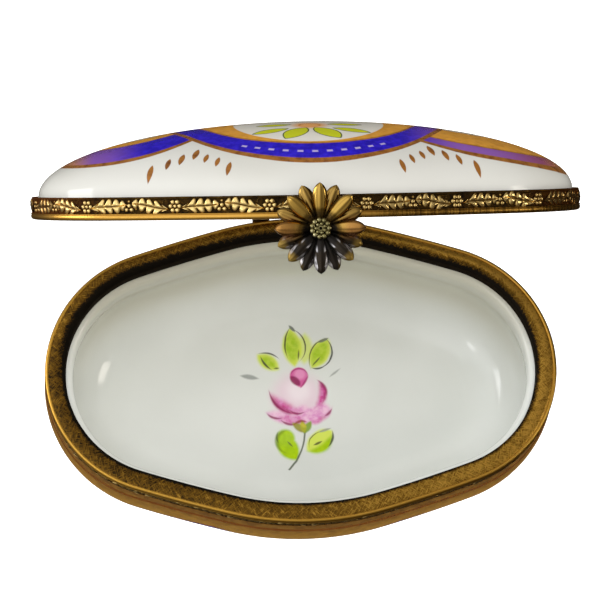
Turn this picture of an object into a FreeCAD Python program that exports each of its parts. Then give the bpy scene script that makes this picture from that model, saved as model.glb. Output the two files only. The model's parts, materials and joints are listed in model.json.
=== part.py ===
"""Hinged oval porcelain trinket box with brass mounts and a daisy clasp, in millimetres.

The frame has +Z up, the front with the clasp at -Y and the hinge at +Y. The origin is the centre of
the foot ring, on the surface that the box stands on. Everything on the lid is built with the lid shut
and then swung open about the hinge pin by lid_open_angle.
"""

import math
import os

import FreeCAD, Part
from FreeCAD import Vector

# ---------------------------------------------------------------- plan outline of both brass rims
rim_length = 82.0
rim_width = 51.0
end_radius = 20.5
crown_radius = 48.0
flank_radius = 240.0

# ---------------------------------------------------------------- brass rims
ring_thickness = 1.0
ring_width = 3.2
ring_edge_bevel = 0.32
lip_thickness = 0.4
lip_depth = 1.4
gallery_height = 2.3
gallery_thickness = 0.75
gallery_recess = 0.2
gallery_bead = 0.55
cement_thickness = 0.3
neck_clearance = 0.05
lip_clearance = 0.05
shut_gap = 0.1

# ---------------------------------------------------------------- porcelain base
base_height = 23.5
floor_thickness = 2.3
foot_recess = 0.9
foot_inset = 8.4
foot_width = 2.4
foot_flare = 0.35
floor_core_inset = 14.5
wall_draft_angle = 4.0
floor_corner_radius = 8.5
belly_proud = 0.6
belly_drop = 8.3
shoulder_inset = 0.15
haunch_inset = 3.2
haunch_height = 5.2

# ---------------------------------------------------------------- porcelain lid
dome_rise = 11.0
dome_wall = 2.3
dome_step = 0.15
dome_section_angles = (0.0, 14.0, 29.0, 45.0, 62.0, 78.0)
lid_open_angle = 66.0

# ---------------------------------------------------------------- hinge
knuckle_radius = 1.25
knuckle_length = 2.8
knuckle_count = 5
knuckle_gap = 0.1
knuckle_clearance = 0.1
knuckle_tab_height = 2.4
pin_radius = 0.6
pin_running_clearance = 0.03
pin_head_radius = 0.95
pin_head_thickness = 0.35

# ---------------------------------------------------------------- daisy clasp
tongue_width = 4.0
tongue_thickness = 0.6
tongue_clearance = 0.12
tongue_drop = 3.0
tongue_pad_height = 1.5
nib_radius = 0.28
nib_drop = 2.1
nib_clearance = 0.04
nib_length = 2.4
daisy_drop = 1.1
daisy_radius = 6.3
petal_count = 8
petal_root_radius = 0.8
petal_width = 2.35
petal_thickness = 0.4
petal_crown = 0.55
petal_tip_thickness = 0.3
petal_widest = 0.58
petal_tilt = 9.0
back_petal_tilt = 2.0
petal_hub_radius = 1.75
petal_hub_thickness = 0.75
boss_radius = 1.5
boss_base = 0.5
boss_bead_radius = 0.42
boss_bead_count = 8
boss_eye_depth = 0.45
rivet_radius = 0.4

# ---------------------------------------------------------------- values that follow from the above
half_length = rim_length / 2
half_width = rim_width / 2
gallery_outer = -gallery_recess
gallery_inner = gallery_outer - gallery_thickness
neck_offset = gallery_inner - neck_clearance
lip_outer = -(ring_width - lip_thickness)
mouth_offset = lip_outer + lip_clearance
rim_height = ring_thickness + gallery_height
neck_height = gallery_height - cement_thickness
hinge_y = half_width + knuckle_clearance + knuckle_radius
hinge_z = base_height + shut_gap / 2
lid_z = base_height + shut_gap
floor_z = foot_recess + floor_thickness
tongue_face = tongue_clearance + tongue_thickness
Z = Vector(0, 0, 1)


# ================================================================ outline helpers
def outline_arcs():
    """The plan outline as (centre, radius, start angle, end angle), anticlockwise from the right end."""
    end_centre = Vector(half_length - end_radius, 0, 0)
    crown_centre = Vector(0, half_width - crown_radius, 0)
    to_end = flank_radius - end_radius
    to_crown = flank_radius - crown_radius
    span = end_centre.sub(crown_centre)
    along = (to_crown**2 - to_end**2 + span.Length**2) / (2 * span.Length)
    aside = math.sqrt(to_crown**2 - along**2)
    unit = Vector(span).normalize()
    flank_centre = crown_centre + unit * along + Vector(unit.y, -unit.x, 0) * aside
    if flank_centre.y > 0:
        flank_centre = crown_centre + unit * along - Vector(unit.y, -unit.x, 0) * aside
    end_angle = math.atan2(end_centre.y - flank_centre.y, end_centre.x - flank_centre.x)
    crown_angle = math.atan2(crown_centre.y - flank_centre.y, crown_centre.x - flank_centre.x)

    def mirrored(centre, sign_x, sign_y):
        return Vector(sign_x * centre.x, sign_y * centre.y, 0)

    half_turn = math.pi
    return [
        (end_centre, end_radius, -end_angle, end_angle),
        (flank_centre, flank_radius, end_angle, crown_angle),
        (crown_centre, crown_radius, crown_angle, half_turn - crown_angle),
        (mirrored(flank_centre, -1, 1), flank_radius, half_turn - crown_angle, half_turn - end_angle),
        (mirrored(end_centre, -1, 1), end_radius, half_turn - end_angle, half_turn + end_angle),
        (mirrored(flank_centre, -1, -1), flank_radius, half_turn + end_angle, half_turn + crown_angle),
        (mirrored(crown_centre, 1, -1), crown_radius, half_turn + crown_angle, 2 * half_turn - crown_angle),
        (mirrored(flank_centre, 1, -1), flank_radius, -crown_angle, -end_angle),
    ]


ARCS = outline_arcs()


def polar(centre, radius, angle, z):
    """The point at an angle and radius from a centre, at height z."""
    return Vector(centre.x + radius * math.cos(angle), centre.y + radius * math.sin(angle), z)


def outline_wire(offset, z, scale=1.0):
    """The plan outline moved outwards by offset, then shrunk about the middle by scale."""
    edges = []
    for centre, radius, start, end in ARCS:
        places = [polar(centre, radius + offset, a, 0) for a in (start, (start + end) / 2, end)]
        lifted = [Vector(p.x * scale, p.y * scale, z) for p in places]
        edges.append(Part.Arc(*lifted).toShape())
    return Part.Wire(edges)


def outline_prism(offset, z_low, z_high):
    """A solid with the plan outline moved outwards by offset, between two heights."""
    return Part.Face(outline_wire(offset, z_low)).extrude(Z * (z_high - z_low))


def sweep(profile_edges):
    """Carries a closed profile, drawn as (offset, z) in the XY plane, round the whole outline."""
    sectors = []
    for centre, radius, start, end in ARCS:
        face = Part.Face(Part.Wire(profile_edges()))
        face.rotate(Vector(), Vector(1, 0, 0), 90)
        face.translate(Vector(radius, 0, 0))
        face.rotate(Vector(), Z, math.degrees(start))
        face.translate(centre)
        sectors.append(face.revolve(centre, Z, math.degrees(end - start)))
    return sectors[0].multiFuse(sectors[1:]).removeSplitter()


def line(a, b):
    """A straight profile edge between two (offset, z) points."""
    return Part.LineSegment(Vector(*a, 0), Vector(*b, 0)).toShape()


def corner(a, middle, b):
    """A round profile edge through three (offset, z) points."""
    return Part.Arc(Vector(*a, 0), Vector(*middle, 0), Vector(*b, 0)).toShape()


def closed(points):
    """Straight profile edges that join a ring of (offset, z) points."""
    return [line(a, b) for a, b in zip(points, points[1:] + points[:1])]


def only_solid(shape):
    """The one solid of a boolean result."""
    assert len(shape.Solids) == 1, f"{len(shape.Solids)} solids where one was meant"
    return shape.Solids[0]


def flipped(shape):
    """A base-side rim piece turned over the parting plane to make the lid-side one."""
    middle = (base_height + lid_z) / 2
    return shape.mirror(Vector(0, 0, middle), Z)


# ================================================================ brass rims
def closing_ring():
    """The flat ring that tops the base: bevelled edges, and an inner lip turned down into the mouth."""
    top, under, foot = base_height, base_height - ring_thickness, base_height - ring_thickness - lip_depth
    bevel = ring_edge_bevel
    return sweep(lambda: closed([
        (lip_outer, under),
        (-bevel, under),
        (0, under + bevel),
        (0, top - bevel),
        (-bevel, top),
        (-ring_width + bevel, top),
        (-ring_width, top - bevel),
        (-ring_width, foot),
        (lip_outer, foot),
    ]))


def gallery_strip():
    """The upright strip that carries the leaf frieze, with a plain bevelled bead along its lower edge."""
    top, foot = base_height - ring_thickness, base_height - rim_height
    bead = gallery_recess / 2
    return sweep(lambda: closed([
        (gallery_inner, foot),
        (gallery_outer, foot),
        (gallery_outer + bead, foot + bead),
        (gallery_outer + bead, foot + gallery_bead),
        (gallery_outer, foot + gallery_bead + bead),
        (gallery_outer, top),
        (gallery_inner, top),
    ]))


def cement_bed():
    """The cement between the ring and the edge of the porcelain."""
    top = base_height - ring_thickness
    low = top - cement_thickness
    return sweep(lambda: closed([(neck_offset, low), (neck_offset, top), (mouth_offset, top), (mouth_offset, low)]))


# ================================================================ porcelain
def bowl():
    """The base: a bellied wall on a foot ring, rebated at the top for the brass, open above."""
    edge_z = base_height - ring_thickness - cement_thickness
    shoulder_z = base_height - rim_height
    draft = math.radians(wall_draft_angle)
    centre_z = floor_z + floor_corner_radius
    wall_z = centre_z - floor_corner_radius * math.sin(draft)
    lip_z = base_height - ring_thickness - lip_depth
    wall_offset = mouth_offset - (lip_z - wall_z) * math.tan(draft)
    centre_offset = wall_offset - floor_corner_radius * math.cos(draft)
    halfway = (math.radians(-90) - draft) / 2
    bend = (
        centre_offset + floor_corner_radius * math.cos(halfway),
        centre_z + floor_corner_radius * math.sin(halfway),
    )
    foot_in = -(foot_inset + foot_width)
    foot_top = (-foot_inset + foot_flare, foot_recess)
    belly = Part.BSplineCurve()
    belly.interpolate([
        Vector(*foot_top, 0),
        Vector(-haunch_inset, haunch_height, 0),
        Vector(belly_proud, base_height - belly_drop, 0),
        Vector(-shoulder_inset, shoulder_z, 0),
    ])

    def profile():
        return [
            line((-floor_core_inset, foot_recess), (foot_in - foot_flare, foot_recess)),
            line((foot_in - foot_flare, foot_recess), (foot_in, 0)),
            line((foot_in, 0), (-foot_inset, 0)),
            line((-foot_inset, 0), foot_top),
            belly.toShape(),
            line((-shoulder_inset, shoulder_z), (neck_offset, shoulder_z)),
            line((neck_offset, shoulder_z), (neck_offset, edge_z)),
            line((neck_offset, edge_z), (mouth_offset, edge_z)),
            line((mouth_offset, edge_z), (mouth_offset, lip_z)),
            line((mouth_offset, lip_z), (wall_offset, wall_z)),
            corner((wall_offset, wall_z), bend, (centre_offset, floor_z)),
            line((centre_offset, floor_z), (-floor_core_inset, floor_z)),
            line((-floor_core_inset, floor_z), (-floor_core_inset, foot_recess)),
        ]

    core = outline_prism(-floor_core_inset, foot_recess, floor_z)
    return only_solid(sweep(profile).fuse(core).removeSplitter())


def dome_solid(offset, z_low, rise):
    """A closed dome over the outline, elliptical in every upright section through the middle."""
    sections = []
    for angle in dome_section_angles:
        turn = math.radians(angle)
        sections.append(outline_wire(offset, z_low + rise * math.sin(turn), math.cos(turn)))
    sections.append(Part.Vertex(0, 0, z_low + rise))
    return Part.makeLoft(sections, True, False)


def dome():
    """The lid's porcelain: a domed shell on an upright neck that the brass grips."""
    edge_z = lid_z + ring_thickness + cement_thickness
    spring_z = lid_z + rim_height
    outer = dome_solid(neck_offset - dome_step, spring_z, dome_rise)
    neck = outline_prism(neck_offset, edge_z, spring_z)
    lip_z = lid_z + ring_thickness + lip_depth
    mouth = outline_prism(mouth_offset, edge_z, lip_z)
    hollow = dome_solid(mouth_offset, lip_z, spring_z + dome_rise - dome_wall - lip_z)
    return only_solid(outer.fuse(neck).cut(mouth).cut(hollow))


# ================================================================ hinge
def knuckle_start(index):
    """Where knuckle number index begins along the pin."""
    pitch = knuckle_length + knuckle_gap
    return -(knuckle_count * pitch - knuckle_gap) / 2 + index * pitch


def knuckle(index, bore_radius, on_base):
    """A length of tube with the tab that is brazed to its own rim."""
    start = knuckle_start(index)
    tube = Part.makeCylinder(knuckle_radius, knuckle_length, Vector(start, hinge_y, hinge_z), Vector(1, 0, 0))
    reach = hinge_y - (half_width - knuckle_radius)
    if on_base:
        tab_z = base_height - knuckle_tab_height
    else:
        tab_z = lid_z
    tab = Part.makeBox(knuckle_length, reach, knuckle_tab_height, Vector(start, hinge_y - reach, tab_z))
    rim = outline_prism(0, tab_z - 1, tab_z + knuckle_tab_height + 1)
    bore = Part.makeCylinder(bore_radius, knuckle_length, Vector(start, hinge_y, hinge_z), Vector(1, 0, 0))
    return only_solid(tube.fuse(tab.cut(rim)).cut(bore).removeSplitter())


def hinge_pin():
    """The pin, peened over the outer faces of the end knuckles."""
    start = knuckle_start(0)
    length = knuckle_count * (knuckle_length + knuckle_gap) - knuckle_gap
    axis = Vector(1, 0, 0)
    shank = Part.makeCylinder(pin_radius, length, Vector(start, hinge_y, hinge_z), axis)
    heads = [
        Part.makeCylinder(pin_head_radius, pin_head_thickness, Vector(x, hinge_y, hinge_z), axis)
        for x in (start - pin_head_thickness, start + length)
    ]
    return only_solid(shank.multiFuse(heads))


# ================================================================ daisy clasp
def clasp_tongue():
    """The strip behind the daisy: brazed to the lid's gallery, stepped out over the rings, with a snap nib."""
    front = -(half_width + tongue_face)
    depth_low = tongue_thickness
    depth_high = tongue_face - gallery_outer
    pad_z = lid_z + ring_thickness
    low_z = base_height - tongue_drop
    lower = Part.makeBox(tongue_width, depth_low, pad_z - low_z, Vector(-tongue_width / 2, front, low_z))
    pad = Part.makeBox(tongue_width, depth_high, tongue_pad_height, Vector(-tongue_width / 2, front, pad_z))
    tongue = lower.fuse(pad).removeSplitter()
    nib_y = -(half_width + nib_clearance + nib_radius)
    nib = Part.makeCylinder(
        nib_radius, nib_length, Vector(-nib_length / 2, nib_y, base_height - nib_drop), Vector(1, 0, 0)
    )
    hole_start = Vector(0, front, base_height - daisy_drop)
    hole = Part.makeCylinder(rivet_radius, tongue_thickness, hole_start, Vector(0, 1, 0))
    return only_solid(tongue.fuse(nib).cut(hole).removeSplitter())


def petal(tilt):
    """One pointed petal along +X with a ridge down its middle, thickness along +Z, its underside at z 0."""
    widest = petal_root_radius + (daisy_radius - petal_root_radius) * petal_widest
    half = petal_width / 2
    root, tip = Vector(petal_root_radius, 0, 0), Vector(daisy_radius, 0, 0)
    outline = [
        Part.Arc(root, Vector(widest, half, 0), tip).toShape(),
        Part.Arc(tip, Vector(widest, -half, 0), root).toShape(),
    ]
    top = petal_thickness + petal_crown
    shaped = Part.Face(Part.Wire(outline)).extrude(Z * top)
    peak = Vector(widest, 0, top)
    for end, end_height in ((root, petal_thickness), (tip, petal_tip_thickness)):
        for side in (-half, half):
            above = plane_above(peak, Vector(end.x, 0, end_height), Vector(widest, side, petal_thickness))
            shaped = shaped.cut(above)
    shaped.rotate(root, Vector(0, 1, 0), -tilt)
    return shaped


def plane_above(peak, ridge_end, edge):
    """The wedge of space above one facet of a petal, on that facet's side and end of the peak."""
    far_end = peak + (ridge_end - peak) * 2
    far_edge = peak + (edge - peak) * 2
    lift = Z * (petal_thickness + petal_crown)
    corner_point = far_end + far_edge - peak
    facet = Part.Face(Part.makePolygon([peak, far_end, corner_point, far_edge, peak]))
    return facet.extrude(lift * 3)


def petal_layer(back_offset, tilt, turn):
    """One stamping of petals on a hub, facing -Y, its back at back_offset in front of the rim."""
    hub = Part.makeCylinder(petal_hub_radius, petal_hub_thickness)
    petals = []
    for index in range(petal_count):
        leaf = petal(tilt)
        leaf.rotate(Vector(), Z, index * 360 / petal_count)
        petals.append(leaf)
    layer = hub.multiFuse(petals)
    below = Part.makeCylinder(2 * daisy_radius, daisy_radius, Vector(0, 0, -daisy_radius))
    layer = layer.cut(below).cut(Part.makeCylinder(rivet_radius, daisy_radius)).removeSplitter()
    layer.rotate(Vector(), Z, turn)
    return facing_front(layer, back_offset)


def facing_front(shape, back_offset):
    """Turns a flower piece drawn along +Z to face -Y, at the daisy's centre."""
    shape.rotate(Vector(), Vector(1, 0, 0), 90)
    shape.translate(Vector(0, -(half_width + back_offset), base_height - daisy_drop))
    return only_solid(shape)


def daisy_boss():
    """The stamens: a low dome ringed by beads, with a sunk eye where the rivet shows."""
    dome_curve = boss_radius * 1.15
    dish = Part.makeSphere(dome_curve, Vector(0, 0, boss_base - (dome_curve - boss_bead_radius)))
    body = dish.common(Part.makeCylinder(boss_radius, boss_radius))
    ring = boss_radius - boss_bead_radius
    beads = []
    for index in range(boss_bead_count):
        turn = 2 * math.pi * index / boss_bead_count
        beads.append(Part.makeSphere(boss_bead_radius, polar(Vector(), ring, turn, boss_base)))
    whole = body.multiFuse(beads)
    whole = whole.common(Part.makeCylinder(2 * boss_radius, 2 * boss_radius))
    whole = whole.cut(Part.makeCylinder(rivet_radius, 2 * boss_radius))
    return facing_front(whole, tongue_face + 2 * petal_hub_thickness)


def clasp_rivet():
    """The rivet through tongue, petals and stamens, flush behind and sunk in front."""
    length = tongue_thickness + 2 * petal_hub_thickness + boss_base + boss_bead_radius - boss_eye_depth
    return facing_front(Part.makeCylinder(rivet_radius, length), tongue_clearance)


# ================================================================ assembly
def open_lid(shape):
    """Swings a piece of the lid from shut to its open rest position."""
    turned = shape.copy()
    turned.rotate(Vector(0, hinge_y, hinge_z), Vector(1, 0, 0), -lid_open_angle)
    return turned


def base_pieces():
    """The pieces that stay with the base."""
    names = ("left", "centre", "right")
    pieces = {
        "base_bowl": bowl(),
        "base_cement": cement_bed(),
        "base_ring": closing_ring(),
        "base_gallery": gallery_strip(),
        "hinge_pin": hinge_pin(),
    }
    for name, index in zip(names, range(0, knuckle_count, 2)):
        pieces[f"hinge_knuckle_base_{name}"] = knuckle(index, pin_radius, True)
    return pieces


def lid_pieces():
    """The pieces that swing with the lid, in their shut place."""
    half_step = 180 / petal_count
    pieces = {
        "lid_dome": dome(),
        "lid_cement": flipped(cement_bed()),
        "lid_ring": flipped(closing_ring()),
        "lid_gallery": flipped(gallery_strip()),
        "clasp_tongue": clasp_tongue(),
        "daisy_back_petals": petal_layer(tongue_face, back_petal_tilt, half_step),
        "daisy_front_petals": petal_layer(tongue_face + petal_hub_thickness, petal_tilt, 0),
        "daisy_boss": daisy_boss(),
        "clasp_rivet": clasp_rivet(),
    }
    for name, index in zip(("left", "right"), range(1, knuckle_count, 2)):
        pieces[f"hinge_knuckle_lid_{name}"] = knuckle(index, pin_radius + pin_running_clearance, False)
    return pieces


def main():
    """Builds every piece and writes one STEP file for each."""
    os.makedirs("parts", exist_ok=True)
    pieces = base_pieces()
    for name, shape in lid_pieces().items():
        pieces[name] = open_lid(shape)
    for name, shape in sorted(pieces.items()):
        assert shape.isValid(), name
        shape.exportStep(f"parts/{name}.step")
        box = shape.BoundBox
        print(f"{name}: {shape.Volume:.1f} mm3, {box.XLength:.1f} x {box.YLength:.1f} x {box.ZLength:.1f}")


main()
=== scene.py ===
"""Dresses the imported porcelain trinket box: glazed and painted porcelain, antique brass and a daisy clasp.

Shapes are worked in millimetres with the lid shut, and scaled to metres when a piece is complete. Lid
pieces are then swung open about the hinge pin, to where the CAD nodes rest.
"""

import json
import logging
import math
from dataclasses import dataclass
from enum import Enum
from typing import Any, Iterable, Optional, Sequence, Union

import bmesh
import bpy
from bmesh.types import BMEdge, BMesh, BMVert
from mathutils import Matrix, Vector
from mathutils.geometry import interpolate_bezier


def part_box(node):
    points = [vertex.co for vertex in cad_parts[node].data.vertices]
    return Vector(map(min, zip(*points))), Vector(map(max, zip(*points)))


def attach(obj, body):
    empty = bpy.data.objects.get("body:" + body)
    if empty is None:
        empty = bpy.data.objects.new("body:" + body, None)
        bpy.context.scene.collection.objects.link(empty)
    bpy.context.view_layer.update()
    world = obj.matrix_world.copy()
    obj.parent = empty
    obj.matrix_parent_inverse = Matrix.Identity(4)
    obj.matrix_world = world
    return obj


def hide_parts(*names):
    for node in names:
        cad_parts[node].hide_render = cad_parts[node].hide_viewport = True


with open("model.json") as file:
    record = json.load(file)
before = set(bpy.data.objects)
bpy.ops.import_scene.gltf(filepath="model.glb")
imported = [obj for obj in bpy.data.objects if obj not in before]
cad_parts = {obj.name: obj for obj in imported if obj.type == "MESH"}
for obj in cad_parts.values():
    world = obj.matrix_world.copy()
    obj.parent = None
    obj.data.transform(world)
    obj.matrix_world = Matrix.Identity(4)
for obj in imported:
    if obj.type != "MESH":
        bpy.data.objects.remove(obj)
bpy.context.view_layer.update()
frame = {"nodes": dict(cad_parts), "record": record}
LOG = logging.getLogger("trinket_box")
MM = 0.001
HINGE_JOINT = frame["record"]["behaviour"]["joints"][0]
Colour = tuple[float, float, float, float]
Point = tuple[float, float]
Point3 = tuple[float, float, float]


def tint(code: str) -> Colour:
    """Turns a web colour code into the linear colour that shaders use.

    Args:
        code: six hexadecimal digits, red first.

    Returns:
        Linear red, green, blue and an alpha of 1.
    """
    parts = [int(code[i:i + 2], 16) / 255 for i in (0, 2, 4)]
    red, green, blue = [c / 12.92 if c <= 0.04045 else ((c + 0.055) / 1.055) ** 2.4 for c in parts]
    return red, green, blue, 1.0


class Side(Enum):
    """Which half of the box a rim piece belongs to."""

    BASE = "base"
    LID = "lid"


# ------------------------------------------------------------------------------------ the outline
@dataclass(frozen=True)
class Arc:
    """One arc of the plan outline, anticlockwise."""

    centre: Vector
    radius: float
    start: float
    end: float

    @property
    def steps(self) -> int:
        """How many straight steps it is drawn with."""
        return max(4, round(self.radius * (self.end - self.start) / 1.15))


@dataclass(frozen=True)
class Outline:
    """The rounded six-sided oval of both rims: two ends, four flanks and two crowns, all tangent."""

    length: float = 82.0
    width: float = 51.0
    end_radius: float = 20.5
    crown_radius: float = 48.0
    flank_radius: float = 240.0

    def quarter(self) -> list[Arc]:
        """The arcs from the right end to the middle of the back.

        Returns:
            An end, a flank and half a crown.
        """
        end_centre = Vector((self.length / 2 - self.end_radius, 0.0))
        crown_centre = Vector((0.0, self.width / 2 - self.crown_radius))
        to_end, to_crown = self.flank_radius - self.end_radius, self.flank_radius - self.crown_radius
        span = end_centre - crown_centre
        along = (to_crown**2 - to_end**2 + span.length_squared) / (2 * span.length)
        aside = math.sqrt(to_crown**2 - along**2)
        unit = span.normalized()
        flank_centre = crown_centre + unit * along - Vector((-unit.y, unit.x)) * aside
        to_right, to_top = end_centre - flank_centre, crown_centre - flank_centre
        right_angle, top_angle = math.atan2(to_right.y, to_right.x), math.atan2(to_top.y, to_top.x)
        return [
            Arc(end_centre, self.end_radius, 0.0, right_angle),
            Arc(flank_centre, self.flank_radius, right_angle, top_angle),
            Arc(crown_centre, self.crown_radius, top_angle, math.pi / 2),
        ]

    def arcs(self) -> list[Arc]:
        """All the arcs, from the right end anticlockwise, joined where they run on.

        Returns:
            The eight arcs.
        """
        end, flank, crown = self.quarter()
        turn = math.pi
        flip = [Vector((-a.centre.x, a.centre.y)) for a in (end, flank)]
        under = [Vector((a.centre.x, -a.centre.y)) for a in (flank, crown)]
        opposite = -flank.centre
        return [
            Arc(end.centre, end.radius, -end.end, end.end),
            flank,
            Arc(crown.centre, crown.radius, crown.start, turn - crown.start),
            Arc(flip[1], flank.radius, turn - flank.end, turn - flank.start),
            Arc(flip[0], end.radius, turn - end.end, turn + end.end),
            Arc(opposite, flank.radius, turn + flank.start, turn + flank.end),
            Arc(under[1], crown.radius, turn + crown.start, 2 * turn - crown.start),
            Arc(under[0], flank.radius, -flank.end, -flank.start),
        ]

    def quarter_length(self) -> float:
        """The distance along the outline from an end to the middle of a long side."""
        return sum(a.radius * (a.end - a.start) for a in self.quarter())

    def locate(self, x: float, y: float) -> Point:
        """Where a place is, told by the outline.

        Args:
            x: the place's position along the length.
            y: its position from front to back.

        Returns:
            Millimetres round from the front middle, positive to the right, and millimetres outside it.
        """
        end, flank, crown = self.quarter()
        place = Vector((abs(x), abs(y)))
        turns = [math.atan2(place.y - a.centre.y, place.x - a.centre.x) for a in (end, flank, crown)]
        if turns[0] <= end.end and place.x > end.centre.x:
            arc, gone = end, end.radius * turns[0]
        elif turns[2] >= crown.start:
            arc, gone = crown, self.quarter_length() - crown.radius * (math.pi / 2 - turns[2])
        else:
            arc, gone = flank, end.radius * end.end + flank.radius * (turns[1] - flank.start)
        away = self.quarter_length() + (gone if y > 0 else -gone)
        return math.copysign(away, x), (place - arc.centre).length - arc.radius

    def mount(self, distance: float, offset: float, z: float) -> Matrix:
        """A frame on the outline with X along it, Y up and Z outwards.

        Args:
            distance: how far round from the front middle.
            offset: how far out from the outline.
            z: the height.

        Returns:
            The matrix that carries a shape drawn at the origin there.
        """
        quarter = self.quarter_length()
        away = abs(distance)
        back = away > quarter
        gone = away - quarter if back else quarter - away
        for arc in self.quarter():
            span = arc.radius * (arc.end - arc.start)
            if gone <= span + 1e-6:
                break
            gone -= span
        angle = arc.start + gone / arc.radius
        sign_x, sign_y = math.copysign(1, distance), 1 if back else -1
        out = Vector((math.cos(angle) * sign_x, math.sin(angle) * sign_y, 0))
        centre = Vector((arc.centre.x * sign_x, arc.centre.y * sign_y, z))
        place = centre + out * (arc.radius + offset)
        along, up = Vector((-out.y, out.x, 0)), Vector((0, 0, 1))
        return Matrix.Translation(place) @ Matrix((along, up, out)).transposed().to_4x4()


OUTLINE = Outline()


# ------------------------------------------------------------------------------------ shader writing
class Field:
    """One output socket of a shader tree, with arithmetic that adds its Math nodes."""

    def __init__(self, shader: "Shader", socket: bpy.types.NodeSocket) -> None:
        """Keeps the socket and the tree that it belongs to."""
        self.shader = shader
        self.socket = socket

    def _math(self, operation: str, *values: Union["Field", float]) -> "Field":
        """Adds one Math node on these values and returns its result."""
        return self.shader.node("ShaderNodeMath", values, operation=operation)

    def __add__(self, other: Union["Field", float]) -> "Field":
        """Sum."""
        return self._math("ADD", self, other)

    def __radd__(self, other: float) -> "Field":
        """Sum with a number on the left."""
        return self._math("ADD", other, self)

    def __sub__(self, other: Union["Field", float]) -> "Field":
        """Difference."""
        return self._math("SUBTRACT", self, other)

    def __rsub__(self, other: float) -> "Field":
        """Difference from a number on the left."""
        return self._math("SUBTRACT", other, self)

    def __mul__(self, other: Union["Field", float]) -> "Field":
        """Product."""
        return self._math("MULTIPLY", self, other)

    def __rmul__(self, other: float) -> "Field":
        """Product with a number on the left."""
        return self._math("MULTIPLY", other, self)

    def __truediv__(self, other: Union["Field", float]) -> "Field":
        """Quotient."""
        return self._math("DIVIDE", self, other)

    def __rtruediv__(self, other: float) -> "Field":
        """A number on the left divided by this."""
        return self._math("DIVIDE", other, self)

    def __neg__(self) -> "Field":
        """The value with its sign changed."""
        return self._math("MULTIPLY", self, -1.0)

    def __abs__(self) -> "Field":
        """The value without its sign."""
        return self._math("ABSOLUTE", self)

    def low(self, other: Union["Field", float]) -> "Field":
        """The smaller of this and another value."""
        return self._math("MINIMUM", self, other)

    def high(self, other: Union["Field", float]) -> "Field":
        """The larger of this and another value."""
        return self._math("MAXIMUM", self, other)

    def wrap(self, span: float) -> "Field":
        """The value repeated every span, from minus half of it to plus half."""
        return self._math("WRAP", self, span / 2, -span / 2)

    def ramp(self, start: float, end: float) -> "Field":
        """A smooth step from 0 at start to 1 at end, whichever is larger."""
        return self.shader.node("ShaderNodeMapRange", (self, start, end, 0.0, 1.0),
                                interpolation_type="SMOOTHSTEP", clamp=True)

    def inside(self, soft: float = 0.06) -> "Field":
        """The mask of where a distance field is below 0, with an edge this soft in millimetres."""
        return self.ramp(soft, -soft)


class Shader:
    """A material's or world's node tree, written as expressions."""

    def __init__(self, block: Union[bpy.types.Material, bpy.types.World]) -> None:
        """Empties the tree of a new material or world.

        Args:
            block: the material or world.
        """
        self.block = block
        block.use_nodes = True
        self.tree = block.node_tree
        self.tree.nodes.clear()

    def node(self, kind: str, values: Any = (), output: Union[int, str] = 0,
             stops: Sequence[tuple[float, Colour]] = (), **settings: Any) -> Field:
        """Adds one node.

        Args:
            kind: the node's type name.
            values: numbers, colours or Fields for its inputs, in order or by name or index.
            output: which output to return.
            stops: a colour ramp's positions and colours.
            settings: the node's own properties, which are set first.

        Returns:
            The chosen output, or the first input of a node that ends the tree.
        """
        made = self.tree.nodes.new(kind)
        for key, value in settings.items():
            setattr(made, key, value)
        if stops:
            elements = made.color_ramp.elements
            while len(elements) < len(stops):
                elements.new(0.5)
            for element, (place, colour) in zip(elements, stops):
                element.position = place
                element.color = colour
        pairs = values.items() if isinstance(values, dict) else enumerate(values)
        for key, value in pairs:
            if isinstance(value, Field):
                self.tree.links.new(value.socket, made.inputs[key])
            elif value is not None:
                made.inputs[key].default_value = value
        return Field(self, made.outputs[output] if made.outputs else made.inputs[0])

    def mix(self, under: Union[Field, Colour], over: Union[Field, Colour],
            mask: Union[Field, float]) -> Field:
        """One colour laid over another where the mask is 1."""
        return self.node("ShaderNodeMix", {0: mask, 6: under, 7: over}, 2, data_type="RGBA")

    def place(self) -> Field:
        """Object coordinates in millimetres."""
        metres = self.node("ShaderNodeTexCoord", output="Object")
        return self.node("ShaderNodeVectorMath", {0: metres, "Scale": 1 / MM}, operation="SCALE")

    def chart(self, name: str) -> Field:
        """One of the piece's own maps, as a vector in millimetres."""
        return self.node("ShaderNodeUVMap", uv_map=name)

    def split(self, vector: Field) -> tuple[Field, Field, Field]:
        """The three numbers of a vector.

        Args:
            vector: the vector.

        Returns:
            The three as Fields.
        """
        made = self.node("ShaderNodeSeparateXYZ", [vector])
        outputs = made.socket.node.outputs
        return made, Field(self, outputs[1]), Field(self, outputs[2])

    def join(self, x: Union[Field, float], y: Union[Field, float], z: Union[Field, float] = 0.0) -> Field:
        """A vector of three numbers."""
        return self.node("ShaderNodeCombineXYZ", [x, y, z])

    def noise(self, vector: Field, per_mm: float, detail: float = 3.0, rough: float = 0.5) -> Field:
        """Soft noise between 0 and 1 with about this many waves to a millimetre."""
        return self.node("ShaderNodeTexNoise",
                         {"Vector": vector, "Scale": per_mm, "Detail": detail, "Roughness": rough})

    def bump(self, height: Field, depth_mm: float, under: Optional[Field] = None) -> Field:
        """A normal from a height field, this deep where the field is 1."""
        return self.node("ShaderNodeBump",
                         {"Strength": 1.0, "Distance": depth_mm * MM, "Height": height, "Normal": under})

    def surface(self, **sockets: Any) -> bpy.types.Material:
        """Finishes the tree with one Principled shader.

        Args:
            sockets: its inputs, with underscores for spaces.

        Returns:
            The material.
        """
        values = {key.replace("_", " "): value for key, value in sockets.items()}
        self.node("ShaderNodeOutputMaterial", {"Surface": self.node("ShaderNodeBsdfPrincipled", values)})
        return self.block


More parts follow.
